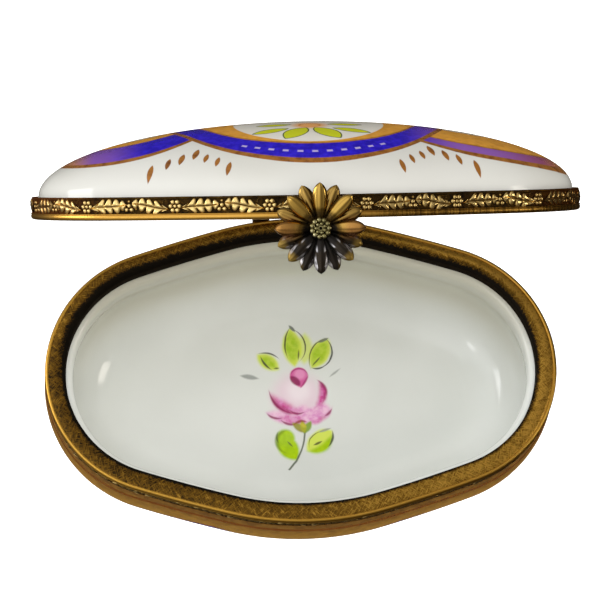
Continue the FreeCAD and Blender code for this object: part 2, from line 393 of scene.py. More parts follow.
class Brush:
    """Distance fields in millimetres of the shapes that a china painter's brush leaves."""

    def __init__(self, shader: Shader, spot: Field) -> None:
        """Draws on one flat chart.

        Args:
            shader: the tree to add nodes to.
            spot: the place on the chart, as a vector.
        """
        self.shader = shader
        self.spot = spot

    def disc(self, centre: Point, radius: float) -> Field:
        """A round spot."""
        ends = [self.spot, (*centre, 0.0)]
        return self.shader.node("ShaderNodeVectorMath", ends, "Value", operation="DISTANCE") - radius

    def leaf(self, root: Point, tip: Point, half_width: float) -> Field:
        """A pointed leaf between two places.

        Args:
            root: where it starts.
            tip: where it ends.
            half_width: half its width.

        Returns:
            Its distance field.
        """
        start, end = Vector(root), Vector(tip)
        middle, half = (start + end) / 2, (end - start).length / 2
        radius = (half**2 + half_width**2) / (2 * half_width)
        aside = Vector((start.y - end.y, end.x - start.x)).normalized() * (radius - half_width)
        return self.disc(tuple(middle + aside), radius).high(self.disc(tuple(middle - aside), radius))

    def round(self, start: Point, through: Point, end: Point) -> Field:
        """The disc whose edge passes through three places.

        Args:
            start: where it starts.
            through: a place it passes.
            end: where it ends.

        Returns:
            The disc's distance field.
        """
        a, b, c = Vector(start), Vector(through), Vector(end)
        turn = 2 * (a.x * (b.y - c.y) + b.x * (c.y - a.y) + c.x * (a.y - b.y))
        aa, bb, cc = a.length_squared, b.length_squared, c.length_squared
        centre = Vector(((aa * (b.y - c.y) + bb * (c.y - a.y) + cc * (a.y - b.y)) / turn,
                         (aa * (c.x - b.x) + bb * (a.x - c.x) + cc * (b.x - a.x)) / turn))
        return self.disc(tuple(centre), (a - centre).length)

    def stroke(self, start: Point, through: Point, end: Point, width: float) -> Field:
        """A curved line of even width through three places.

        Args:
            start: where it starts.
            through: a place it passes.
            end: where it ends.
            width: its width.

        Returns:
            Its distance field.
        """
        half = (Vector(end) - Vector(start)).length / 2
        reach = self.disc(tuple((Vector(start) + Vector(end)) / 2), half)
        return (abs(self.round(start, through, end)) - width / 2).high(reach)

    def taper(self, start: Point, through: Point, end: Point, width: float) -> Field:
        """A curved stroke that is pointed at both ends and this wide on its inner side half way along.

        Args:
            start: where it starts.
            through: a place it passes.
            end: where it ends.
            width: its width on the inner side, half way along.

        Returns:
            Its distance field.
        """
        inwards = (Vector(start) + Vector(end)) / 2 - Vector(through)
        inner = Vector(through) + inwards.normalized() * width
        bite = self.round(start, tuple(inner), end)
        return self.round(start, through, end).high(-bite if width < inwards.length else bite)


class Canvas:
    """Colours laid one over another on white glaze, with the share of gold and of raised enamel."""

    GOLD = tint("976228")
    GOLD_DARK = tint("66391A")
    AMBER = tint("DFA038")

    def __init__(self, shader: Shader, ground: Union[Field, Colour], grain: Field) -> None:
        """Starts with bare glaze.

        Args:
            shader: the tree to add nodes to.
            ground: the bare glaze's colour.
            grain: noise that makes the brushwork uneven.
        """
        self.shader = shader
        self.colour = ground
        self.grain = grain
        self.gold: Union[Field, float] = 0.0
        self.enamel: Union[Field, float] = 0.0

    def lay(self, mask: Field, colour: Union[Field, Colour], strength: float = 1.0) -> None:
        """Lays one colour where the mask is.

        Args:
            mask: where it goes.
            colour: the colour.
            strength: how much of it covers.
        """
        veil = mask * strength if strength < 1 else mask
        self.colour = self.shader.mix(self.colour, colour, veil)
        self.enamel = veil.high(self.enamel)
        if isinstance(self.gold, Field):
            self.gold = self.gold * (1 - veil)

    def gild(self, mask: Field, amber: Union[Field, float] = 0.0) -> None:
        """Lays burnished gold, thin enough in places for its brown ground to show.

        Args:
            mask: where it goes.
            amber: how much of it has the brighter amber tone.
        """
        shade = self.shader.mix(self.GOLD_DARK, self.GOLD, self.grain.ramp(0.25, 0.62))
        amber = amber * (0.72 + 0.28 * self.grain.ramp(0.3, 0.7)) if isinstance(amber, Field) else amber
        self.lay(mask, self.shader.mix(shade, self.AMBER, amber))
        self.gold = mask.high(self.gold)


# ------------------------------------------------------------------------------------ finishes
@dataclass(frozen=True)
class Glaze:
    """White porcelain under a clear glossy glaze, bare or painted."""

    name: str
    body: str = "E4E2DC"
    shade: str = "CFCDC4"
    gloss: float = 0.09
    relief: float = 0.02

    def paint(self, shader: Shader, canvas: Canvas) -> None:
        """Leaves the glaze bare; painted finishes add their motifs here."""

    def material(self) -> bpy.types.Material:
        """Makes the material.

        Returns:
            The material.
        """
        shader = Shader(bpy.data.materials.new(self.name))
        spot = shader.place()
        cloud = shader.noise(spot, 0.06, 2.0)
        ground = shader.mix(tint(self.body), tint(self.shade), cloud.ramp(0.35, 0.75) * 0.5)
        canvas = Canvas(shader, ground, shader.noise(spot, 0.9, 4.0, 0.6))
        self.paint(shader, canvas)
        ripple = shader.noise(spot, 0.16, 2.0)
        normal = shader.bump(ripple, 0.06)
        if isinstance(canvas.enamel, Field):
            normal = shader.bump(canvas.enamel, self.relief, normal)
        return shader.surface(
            Base_Color=canvas.colour,
            Roughness=shader.noise(spot, 0.4).ramp(0.2, 0.9) * 0.05 + self.gloss + 0.12 * canvas.gold,
            Metallic=0.14 * canvas.gold if isinstance(canvas.gold, Field) else 0.0,
            IOR=1.52,
            Normal=normal,
        )


@dataclass(frozen=True)
class LidGlaze(Glaze):
    """The lid's outside: scalloped cobalt ribbons edged in gold, seed drops and a sprig on the crown."""

    ribbon_width: float = 3.2
    edge_width: float = 0.8
    crown_centre: Point = (0.0, 2.0)
    crown_radius: float = 20.2
    crown_gold: float = 6.0
    reserve_radius: float = 10.9
    reserve_reach: float = 6.6
    side_radius: float = 15.53
    left_centre: float = 23.86
    right_centre: float = 22.3
    left_squash: float = 1.218
    right_squash: float = 0.97
    right_growth: float = 1.07
    left_ribbon: float = 5.6
    right_ribbon: float = 1.8
    left_gold: float = 4.0
    right_gold: float = 7.0
    dash_pitch: float = 2.05
    deep_blue: str = "1D109C"
    blue: str = "2B1CC0"
    # violet, plum and bronze are painted reflection colours for the ribbons' front ends
    violet: str = "8456A0"
    plum: str = "85404E"
    bronze: str = "B07A34"
    ground: str = "D2CFC7"
    dash: str = "A79BC9"
    orange: str = "E39A3C"
    rust: str = "B4611C"
    leaf: str = "B9BF1F"
    leaf_line: str = "4A5A12"

    def paint(self, shader: Shader, canvas: Canvas) -> None:
        """Paints the four scallops, which mirror about both middle lines of the plan.

        Args:
            shader: the tree to add nodes to.
            canvas: what it is painted on.
        """
        x, y, _ = shader.split(shader.chart("plan"))
        fold = Brush(shader, shader.join(abs(x), abs(y)))
        cobalt = self.ribbon_colour(shader, canvas, x, y)
        right = x.ramp(-6.0, 6.0)
        squash = self.left_squash + right * (self.right_squash - self.left_squash)
        reach = (abs(x) - self.left_centre - right * (self.right_centre - self.left_centre)) * squash
        side = Brush(shader, shader.join(reach, y)).disc((0.0, 0.0), self.side_radius)
        ribbon = self.left_ribbon + right * (self.right_ribbon - self.left_ribbon)
        gold = self.left_gold + right * (self.right_gold - self.left_gold)
        self.scallop(canvas, side - right * self.right_growth, cobalt, ribbon, gold)
        crown = fold.disc(self.crown_centre, self.crown_radius)
        self.scallop(canvas, crown, cobalt, self.ribbon_width, self.crown_gold)
        past = (abs(y) - self.reserve_reach).high(0.0)
        reserve = Brush(shader, shader.join(x, past)).disc((0.0, 0.0), self.reserve_radius)
        canvas.lay(reserve.inside(0.08), tint(self.ground))
        self.dashes(shader, canvas, fold, x, y)
        self.drops(canvas, fold)
        self.sprig(canvas, fold)

    def ribbon_colour(self, shader: Shader, canvas: Canvas, x: Field, y: Field) -> Field:
        """Cobalt with a painted reflection that turns it violet, plum and bronze towards the front of both
        ends.

        Args:
            shader: the tree to add nodes to.
            canvas: what it is painted on.
            x: the place along the box.
            y: the place from front to back.

        Returns:
            The ribbons' colour.
        """
        # Painted reflection: violet, plum and bronze go only towards the front of both ends, none at the
        # back.
        front = y.ramp(3.0, -5.0)
        violet = (x.ramp(12.0, 22.0) * 0.9).high((-x).ramp(23.0, 31.0) * 0.75)
        bronze = x.ramp(33.0, 38.0).high((-x).ramp(30.5, 35.0))
        colour = shader.mix(tint(self.deep_blue), tint(self.blue), canvas.grain.ramp(0.35, 0.7))
        colour = shader.mix(colour, tint(self.violet), violet * front)
        colour = shader.mix(colour, tint(self.plum), x.ramp(24.0, 36.0) * front * 0.85)
        return shader.mix(colour, tint(self.bronze), bronze * front * 0.85)

    def scallop(self, canvas: Canvas, edge: Field, cobalt: Field, ribbon: Union[Field, float],
                inner: Union[Field, float]) -> None:
        """One ribbon that follows the inside of an outline.

        Args:
            canvas: what it is painted on.
            edge: the outline's distance field.
            cobalt: the ribbon's colour.
            ribbon: how wide the ribbon is.
            inner: how wide the gold inside the ribbon is.
        """
        near = edge + self.edge_width + ribbon
        field = (near + inner).inside(0.1)
        canvas.lay(field, tint(self.ground))
        amber = (near + 0.35).inside(0.35) * 0.95
        canvas.gild(edge.inside(0.07) * (1 - field), amber)
        canvas.lay((abs(edge + self.edge_width + ribbon / 2) - ribbon / 2).inside(0.08), cobalt)

    def dashes(self, shader: Shader, canvas: Canvas, fold: Brush, x: Field, y: Field) -> None:
        """Pale dashes along the middle of the front and back ribbons.

        Args:
            shader: the tree to add nodes to.
            canvas: what it is painted on.
            fold: a brush on the plan folded into one quarter.
            x: the place along the box.
            y: the place from front to back.
        """
        radius = self.crown_radius - self.edge_width - self.ribbon_width / 2 + 0.3
        angle = shader.node("ShaderNodeMath", [x, abs(y) - self.crown_centre[1]], operation="ARCTAN2")
        across = abs(fold.disc(self.crown_centre, radius)) - 0.2
        along = abs((angle * radius).wrap(self.dash_pitch)) - 0.4
        window = abs(angle).ramp(0.62, 0.58)
        canvas.lay(across.high(along).inside(0.09) * window, tint(self.dash))

    def drops(self, canvas: Canvas, fold: Brush) -> None:
        """Seven gold seeds that fan out under each joint of the ribbons.

        Args:
            canvas: what it is painted on.
            fold: a brush on the plan folded into one quarter.
        """
        seeds = ((12.05, 21.0, 0.85), (13.55, 19.6, 0.75), (15.1, 18.5, 0.8), (16.5, 17.2, 1.1),
                 (18.5, 17.6, 1.0), (20.4, 17.8, 0.85), (22.9, 18.2, 0.95))
        for across, along, half in seeds:
            lean = Vector((0.36, 0.93)) * half
            middle = Vector((across, along))
            canvas.gild(fold.leaf(tuple(middle + lean), tuple(middle - lean), 0.3 * half + 0.12).inside(0.05))

    def sprig(self, canvas: Canvas, fold: Brush) -> None:
        """Yellow-green leaves with dark outlines round an orange bloom, on the crown's front and back.

        Args:
            canvas: what it is painted on.
            fold: a brush on the plan folded into one quarter.
        """
        bloom = fold.disc((0.0, 9.2), 2.9)
        canvas.lay(bloom.ramp(0.5, -1.6), tint(self.orange), 0.85)
        for root, tip, half in (((0.6, 11.2), (3.9, 16.2), 1.5), ((3.2, 11.4), (8.4, 13.2), 1.0),
                                ((2.6, 8.4), (7.6, 8.2), 1.0)):
            shape = fold.leaf(root, tip, half)
            canvas.lay(shape.inside(0.2), tint(self.leaf))
            canvas.lay((abs(shape) - 0.1).inside(0.07), tint(self.leaf_line))
        canvas.lay((abs(bloom + 1.4) - 0.12).inside(0.1), tint(self.rust), 0.7)


@dataclass(frozen=True)
class BowlGlaze(Glaze):
    """The base's outside: the same ribbons hung from the rim as festoons, gilt between them and the rim."""

    quarter: float = OUTLINE.quarter_length()
    joint: float = 15.0
    rim: float = 20.2
    drop: float = 5.4
    swag: float = 3.0
    ribbon: float = 3.2
    foot_line: float = 3.2
    deep_blue: str = "1B16A8"
    blue: str = "2A22C4"
    gilt: str = "B98A30"
    dark_gilt: str = "5E3A0C"
    thin_gilt: str = "7A4416"
    rim_line: str = "5A2408"

    def paint(self, shader: Shader, canvas: Canvas) -> None:
        """Paints the festoons by distance round the rim and height.

        Args:
            shader: the tree to add nodes to.
            canvas: what it is painted on.
        """
        around, height, _ = shader.split(shader.chart("wrap"))
        folded = self.quarter - abs(abs(around) - self.quarter)
        in_front = folded.ramp(self.joint + 0.01, self.joint)
        front_share = folded / self.joint
        side_share = (self.quarter - folded) / (self.quarter - self.joint)
        swag = (1 - front_share * front_share) * in_front + (1 - side_share * side_share) * (1 - in_front)
        edge = (self.rim - self.drop - height - self.swag * swag) * 0.9
        cobalt = shader.mix(tint(self.deep_blue), tint(self.blue), canvas.grain.ramp(0.35, 0.7))
        strokes = shader.noise(shader.join(around * 0.4, height * 2.4), 1.0, 3.0, 0.6)
        thin = shader.noise(shader.place(), 0.35, 3.0)
        glow = canvas.grain.ramp(0.25, 0.8) * 0.3 + strokes.ramp(0.3, 0.7) * 0.12
        # Painted shade under the brass: besides its noise, the gilt is darker towards the rim and brighter
        # lower down.
        gilt = shader.mix(tint(self.dark_gilt), tint(self.gilt), glow + height.ramp(20.0, 14.5) * 0.5)
        gilt = shader.mix(gilt, tint(self.thin_gilt), thin.ramp(0.55, 0.8) * 0.3)
        canvas.lay(edge.inside(0.07), gilt)
        canvas.gold = edge.inside(0.07) * 2.2
        canvas.lay((abs(height - self.rim + 1.5) - 0.3).inside(0.3), tint(self.rim_line), 0.8)
        self.drops(shader, canvas, abs(folded - self.joint), height)
        canvas.lay((abs(edge - self.ribbon / 2) - self.ribbon / 2).inside(0.08), cobalt)
        canvas.gild((abs(edge) - 0.35).inside(0.07))
        canvas.gild((abs(edge - self.ribbon - 0.2) - 0.35).inside(0.07))
        canvas.gild((abs(height - self.foot_line) - 0.3).inside(0.06))

    def drops(self, shader: Shader, canvas: Canvas, aside: Field, height: Field) -> None:
        """Gold seeds that fan out under each joint of the festoons.

        Args:
            shader: the tree to add nodes to.
            canvas: what they are painted on.
            aside: the distance round the rim from the nearest joint.
            height: the height above the foot.
        """
        brush = Brush(shader, shader.join(aside, height))
        for across, middle, half in ((0.0, 8.7, 0.95), (1.7, 8.2, 0.85), (3.3, 7.3, 0.8), (4.8, 6.1, 0.7)):
            lean = Vector((0.2 * across / 3.3, 1.0)) * half
            top, foot = (across - lean.x, middle + lean.y), (across + lean.x, middle - lean.y)
            canvas.gild(brush.leaf(top, foot, 0.3 * half + 0.12).inside(0.05))


@dataclass(frozen=True)
class BowlInterior(Glaze):
    """The base's inside, with a rose spray on the floor."""

    pale: str = "E9BFD8"
    lilac: str = "D587C0"
    rose: str = "C63E8B"
    deep: str = "860C4E"
    green: str = "9ABE08"
    light_green: str = "CEDC48"
    dark_green: str = "6C860A"
    fresh_green: str = "AECF10"
    ink: str = "2F3524"
    thin_ink: str = "5E655C"
    grey: str = "8A8F8B"
    stem: str = "5A6150"
    blush: str = "F0E6EC"
    heart: str = "CC5496"
    heart_light: str = "E596C4"
    heart_line: str = "A3266C"
    olive: str = "8F8C1E"
    sap: str = "78981A"
    moss: str = "A3A51E"
    straw: str = "C6BC30"
    calyx_line: str = "8A3A1C"
    wall_shade: str = "B4B09B"

    def paint(self, shader: Shader, canvas: Canvas) -> None:
        """Lays painted shade on the upper back wall, then paints leaves, bloom and bud, in that order.

        Args:
            shader: the tree to add nodes to.
            canvas: what it is painted on.
        """
        wobble = shader.noise(shader.place(), 0.4, 2.0)
        shift = (wobble - 0.5) * 0.3
        _, back, height = shader.split(shader.place())
        # Painted shade: the back wall is darker and greyer towards the top, where the open lid shades it.
        canvas.lay(height.ramp(3.5, 12.0) * back.ramp(-4.0, 16.0), tint(self.wall_shade), 0.75)
        canvas.enamel = 0.0
        x, y, _ = shader.split(shader.chart("plan"))
        brush = Brush(shader, shader.join(x + shift, y - shift))
        self.upper_leaves(canvas, brush)
        self.lower_leaves(canvas, brush)
        self.bloom(canvas, brush)
        self.bud(canvas, brush)

    def upper_leaves(self, canvas: Canvas, brush: Brush) -> None:
        """Three leaves above the bloom, washed in green inside loose ink lines.

        Args:
            canvas: what it is painted on.
            brush: draws on the plan.
        """
        wet = canvas.grain.ramp(0.3, 0.75)
        green = brush.shader.mix(tint(self.green), tint(self.light_green), wet * 0.6)
        light, ink, grey = tint(self.light_green), tint(self.ink), tint(self.grey)
        canvas.lay(brush.leaf((1.5, 6.6), (1.9, 12.4), 1.5).ramp(0.35, -0.6), light, 0.75)
        for root, tip, half in (((-0.1, 6.2), (-0.7, 13.3), 1.75), ((2.7, 5.9), (5.9, 11.2), 1.75),
                                ((-2.8, 5.8), (-6.5, 8.6), 1.35)):
            shape = brush.leaf(root, tip, half)
            canvas.lay(shape.ramp(0.3, -0.4), light, 0.95)
            canvas.lay((shape + 0.55).ramp(0.5, -0.5), green)
        for start, through, end, width in (((-1.3, 8.0), (-1.75, 10.6), (-0.7, 13.4), 0.3),
                                           ((1.1, 7.5), (2.0, 9.6), (-0.1, 13.0), 0.26),
                                           ((5.4, 11.2), (6.6, 8.7), (4.2, 5.9), 0.3),
                                           ((5.0, 6.2), (3.9, 5.7), (2.8, 6.0), 0.3),
                                           ((2.5, 6.2), (2.7, 9.0), (5.2, 11.2), 0.22),
                                           ((-6.2, 8.8), (-4.6, 8.95), (-2.8, 7.8), 0.3),
                                           ((-5.9, 8.2), (-5.4, 6.8), (-4.1, 5.8), 0.38)):
            canvas.lay(brush.taper(start, through, end, width).inside(0.09), ink, 0.92)
        for start, end, half in (((0.6, 7.4), (0.75, 9.3), 0.13), ((2.9, 6.4), (4.4, 7.9), 0.14),
                                 ((-3.7, 6.0), (-2.8, 6.1), 0.13)):
            canvas.lay(brush.leaf(start, end, half).inside(0.1), ink, 0.85)
        for start, end, half in (((-0.9, 13.8), (0.2, 12.6), 0.28), ((4.1, 10.5), (5.9, 11.3), 0.26)):
            canvas.lay(brush.leaf(start, end, half).inside(0.12), tint(self.thin_ink), 0.9)
        canvas.lay(brush.leaf((-6.4, 4.3), (-9.5, 4.9), 0.42).inside(0.2), grey, 0.85)
        canvas.lay(brush.leaf((5.8, 4.3), (7.7, 5.7), 0.17).inside(0.14), grey, 0.75)

    def lower_leaves(self, canvas: Canvas, brush: Brush) -> None:
        """The stem and the two leaves on it.

        Args:
            canvas: what it is painted on.
            brush: draws on the plan.
        """
        wet = canvas.grain.ramp(0.3, 0.75)
        green = brush.shader.mix(tint(self.green), tint(self.fresh_green), wet)
        light, ink, dark = tint(self.light_green), tint(self.ink), tint(self.dark_green)
        left = brush.disc((-2.15, -6.4), 1.6).low(brush.leaf((-3.4, -5.6), (-0.3, -10.2), 1.7))
        canvas.lay(left.ramp(0.3, -0.35), green)
        canvas.lay(brush.taper((-1.6, -5.0), (-3.9, -6.2), (-2.2, -8.9), 0.75).ramp(0.2, -0.3), dark, 0.75)
        canvas.lay(brush.taper((-3.3, -5.3), (-3.75, -6.1), (-3.3, -7.2), 0.3).inside(0.12), ink, 0.7)
        canvas.lay(brush.leaf((-1.9, -6.9), (-1.0, -7.9), 0.14).inside(0.1), ink, 0.75)
        right = brush.leaf((1.4, -8.7), (5.8, -5.2), 1.7)
        canvas.lay(right.ramp(0.3, -0.35), light, 0.95)
        canvas.lay(brush.taper((1.5, -8.8), (4.0, -9.1), (5.8, -5.8), 1.6).ramp(0.3, -0.5), green)
        canvas.lay(brush.taper((1.8, -8.0), (2.1, -6.3), (3.9, -5.4), 0.18).inside(0.09), ink, 0.85)
        canvas.lay(brush.taper((5.8, -5.3), (6.0, -6.7), (5.0, -8.0), 0.38).inside(0.1), ink, 0.9)
        canvas.lay(brush.leaf((2.5, -7.7), (4.0, -7.0), 0.19).inside(0.1), ink, 0.85)
        canvas.lay(brush.leaf((3.5, -5.5), (5.6, -4.8), 0.2).inside(0.12), tint(self.grey), 0.85)
        stem = brush.stroke((1.2, -4.7), (0.6, -8.2), (-1.8, -11.9), 0.3)
        canvas.lay(stem.inside(0.1), tint(self.stem), 0.95)

    def bloom(self, canvas: Canvas, brush: Brush) -> None:
        """The open rose: a blush, ruffled outer petals and the two deep edges of its cup.

        Args:
            canvas: what it is painted on.
            brush: draws on the plan.
        """
        uneven = canvas.grain.ramp(0.3, 0.7)
        wash = brush.shader.mix(tint(self.pale), tint(self.lilac), uneven)
        warm = brush.shader.mix(tint(self.lilac), tint(self.rose), uneven)
        deep = brush.shader.mix(tint(self.rose), tint(self.deep), uneven * 0.8)
        dark = tint(self.deep)
        canvas.lay(brush.disc((0.2, 0.8), 5.0).ramp(0.9, -2.6), tint(self.pale), 0.55)
        ruffle = brush.disc((2.9, -2.5), 1.6).low(brush.disc((4.4, -1.6), 1.35))
        ruffle = ruffle.low(brush.disc((0.9, -2.3), 1.7))
        canvas.lay(ruffle.ramp(0.35, -0.6), wash)
        canvas.lay(brush.leaf((-5.3, -1.8), (0.2, -3.6), 1.15).ramp(0.35, -0.6), wash, 0.9)
        canvas.lay(brush.leaf((-3.0, -2.7), (1.6, -3.8), 0.9).ramp(0.3, -0.5), warm, 0.7)
        canvas.lay(brush.taper((5.9, -1.2), (4.4, -3.6), (1.2, -3.6), 0.9).ramp(0.3, -0.4), warm, 0.6)
        canvas.lay(brush.taper((-4.7, 2.1), (-2.9, -1.8), (1.4, -1.9), 2.6).ramp(0.2, -1.3), warm)
        canvas.lay(brush.taper((-4.6, 2.0), (-2.9, -1.7), (1.0, -2.0), 1.2).ramp(0.12, -0.5), deep, 0.9)
        canvas.lay(brush.taper((-4.6, 1.9), (-3.4, -0.9), (-1.0, -2.0), 0.4).inside(0.14), dark, 0.85)
        canvas.lay(brush.taper((3.6, 3.8), (5.4, 1.1), (2.6, -1.4), 1.9).ramp(0.2, -0.8), warm)
        canvas.lay(brush.taper((3.7, 3.8), (5.35, 1.4), (4.3, -0.4), 1.0).ramp(0.12, -0.4), deep)
        canvas.lay(brush.taper((3.8, 3.7), (5.2, 2.2), (5.2, 1.0), 0.5).inside(0.2), dark, 0.8)
        canvas.lay(brush.disc((0.4, 2.0), 2.4).ramp(0.7, -1.6), tint(self.blush), 0.75)
        for start, through, end, width in (((-5.1, -2.0), (-4.1, -2.95), (-2.7, -2.8), 0.42),
                                           ((-2.8, -3.2), (-1.5, -4.15), (-0.1, -3.9), 0.42),
                                           ((5.9, -1.4), (5.5, -2.3), (4.7, -2.7), 0.4),
                                           ((-1.2, -1.5), (0.0, -2.3), (1.1, -1.9), 0.4)):
            canvas.lay(brush.taper(start, through, end, width).inside(0.14), dark, 0.85)
        for root, tip, half, green in (((-0.9, -3.7), (1.4, -5.5), 0.6, self.olive),
                                       ((2.3, -3.5), (1.0, -5.6), 0.55, self.sap),
                                       ((0.8, -3.4), (1.1, -5.5), 0.5, self.moss)):
            canvas.lay(brush.leaf(root, tip, half).inside(0.2), tint(green), 0.95)
        canvas.lay(brush.leaf((0.5, -3.9), (1.4, -4.5), 0.3).inside(0.25), tint(self.straw), 0.85)
        line = brush.taper((-0.7, -4.1), (0.4, -3.3), (1.5, -3.6), 0.45)
        canvas.lay(line.inside(0.14), tint(self.calyx_line), 0.8)

    def bud(self, canvas: Canvas, brush: Brush) -> None:
        """The folded heart of the rose.

        Args:
            canvas: what it is painted on.
            brush: draws on the plan.
        """
        heart = brush.disc((0.55, 4.6), 1.5).low(brush.leaf((0.4, 5.8), (0.85, 2.5), 1.15))
        line = tint(self.heart_line)
        canvas.lay(heart.inside(0.2), tint(self.heart))
        canvas.lay(brush.disc((0.75, 4.9), 0.9).ramp(0.5, -0.4), tint(self.heart_light), 0.8)
        canvas.lay(brush.taper((-0.8, 4.8), (0.6, 6.05), (2.05, 4.8), 0.3).inside(0.12), line, 0.85)
        canvas.lay(brush.leaf((-0.9, 4.5), (0.7, 2.9), 0.62).inside(0.2), tint(self.deep), 0.9)
        canvas.lay(brush.taper((2.1, 4.6), (1.75, 3.4), (0.8, 2.5), 0.36).inside(0.14), line, 0.85)


@dataclass(frozen=True)
class Brass:
    """Antique brass: rubbed bright where it is handled, dark in its hollows, with a painted warm reflection
    at the box's ends.
    """

    name: str
    bright: str = "C79A4B"
    middle: str = "8A6427"
    dark: str = "2C1E10"
    wear: float = 0.5
    rough: float = 0.3
    scratches: float = 0.012
    # amber: how much painted warm reflection, in the colour warm, lies at the box's ends
    amber: float = 0.0
    warm: str = "7A3F0C"

    def rubbing_and_shade(self, shader: Shader, rub_and_shade: Field) -> Field:
        """How much the noise says is rubbed bright; finishes that follow a shape change it here, some adding
        painted light and shade.
        """
        return rub_and_shade

    def marks(self, shader: Shader, fine: Field) -> Field:
        """The height of the fine marks in the surface."""
        return fine

    def tone(self, shader: Shader, colour: Field) -> Field:
        """The last word on the colour: a painted warm reflection towards the box's ends.

        Args:
            shader: the tree to add nodes to.
            colour: the colour so far.

        Returns:
            The colour to use.
        """
        if not self.amber:
            return colour
        # Painted reflection: the warm colour is laid more towards both ends of the box.
        x, _, _ = shader.split(shader.place())
        return shader.mix(colour, tint(self.warm), abs(x).ramp(27.0, 41.0) * self.amber)

    def material(self) -> bpy.types.Material:
        """Makes the material.

        Returns:
            The material.
        """
        shader = Shader(bpy.data.materials.new(self.name))
        spot = shader.place()
        blotch = shader.noise(spot, 0.55, 5.0, 0.65)
        fine = shader.noise(spot, 5.0, 3.0, 0.6)
        # Rubbed wear, and for the rings and petals painted light and shade too, set colour, metalness and
        # roughness.
        rub_and_shade = self.rubbing_and_shade(shader, blotch * 0.6 + fine * 0.4 + (self.wear - 0.5))
        colour = shader.mix(tint(self.middle), tint(self.bright), rub_and_shade.ramp(0.42, 0.68))
        colour = shader.mix(tint(self.dark), colour, rub_and_shade.ramp(0.22, 0.46))
        return shader.surface(
            Base_Color=self.tone(shader, colour),
            Metallic=0.9 + 0.1 * rub_and_shade.ramp(0.3, 0.5),
            Roughness=self.rough + (1 - rub_and_shade.ramp(0.25, 0.6)) * 0.28,
            Normal=shader.bump(self.marks(shader, fine), self.scratches),
        )


@dataclass(frozen=True)
class RingBrass(Brass):
    """The closing rings: gold along the outer roll, dark and cross-filed on the flat, with painted light and
    shade that vary round the ring.
    """

    # level lifts the whole ring; shaded, shade_start and shade_end paint light and shade across the plan:
    # positive darkens towards +x, negative lightens
    level: float = 0.26
    shaded: float = 0.34
    shade_start: float = -4.0
    shade_end: float = 14.0

    def hatching(self, shader: Shader) -> Field:
        """File marks that cross the flat in two directions.

        Args:
            shader: the tree to add nodes to.

        Returns:
            A height from 0 to 1.
        """
        along, out, _ = shader.split(shader.chart("rim"))
        one = shader.noise(shader.join(along + out, (out - along) * 0.16), 3.6, 3.0, 0.65)
        other = shader.noise(shader.join(along - out, (out + along) * 0.16, 7.0), 3.6, 3.0, 0.65)
        return one.high(other)

    def rubbing_and_shade(self, shader: Shader, rub_and_shade: Field) -> Field:
        """Bright on the outer roll and along the file marks on the flat; painted shade, with tarnish, makes
        it black towards the mouth, painted shade darkens the inner flat towards the back, and painted light
        and shade vary it from one side of the plan to the other.

        Args:
            shader: the tree to add nodes to.
            rub_and_shade: how much the noise says is rubbed.

        Returns:
            How much is rubbed bright, with the painted light and shade.
        """
        _, out, _ = shader.split(shader.chart("rim"))
        x, y, _ = shader.split(shader.chart("plan"))
        flat = rub_and_shade * 0.45 + self.hatching(shader) - 0.6 + self.level
        # Painted shade: black towards the mouth, where the gap is shaded and the brass tarnished, and the
        # inner flat darker towards the back.
        flat = flat - out.ramp(-2.5, -3.1) * 0.32 - (out.ramp(-1.5, -2.6) * 0.34 - 0.08) * y.ramp(-4.0, 12.0)
        flat = flat + out.ramp(-0.7, -0.5) * 0.42
        # Painted light and shade across the plan: the lid ring darker on its right, the base ring lighter on
        # its right.
        return flat - x.ramp(self.shade_start, self.shade_end) * self.shaded

    def marks(self, shader: Shader, fine: Field) -> Field:
        """File marks over the fine grain."""
        return fine * 0.3 + self.hatching(shader) * 1.6


@dataclass(frozen=True)
class ReliefBrass(Brass):
    """Stamped ornament: rubbed bright on its crowns, black in its hollows."""

    low: float = -0.26
    high: float = -0.04

    def rubbing_and_shade(self, shader: Shader, rub_and_shade: Field) -> Field:
        """Follows how far the ornament stands out."""
        _, out, _ = shader.split(shader.chart("rim"))
        return out.ramp(self.low, self.high) * 0.62 + rub_and_shade * 0.4


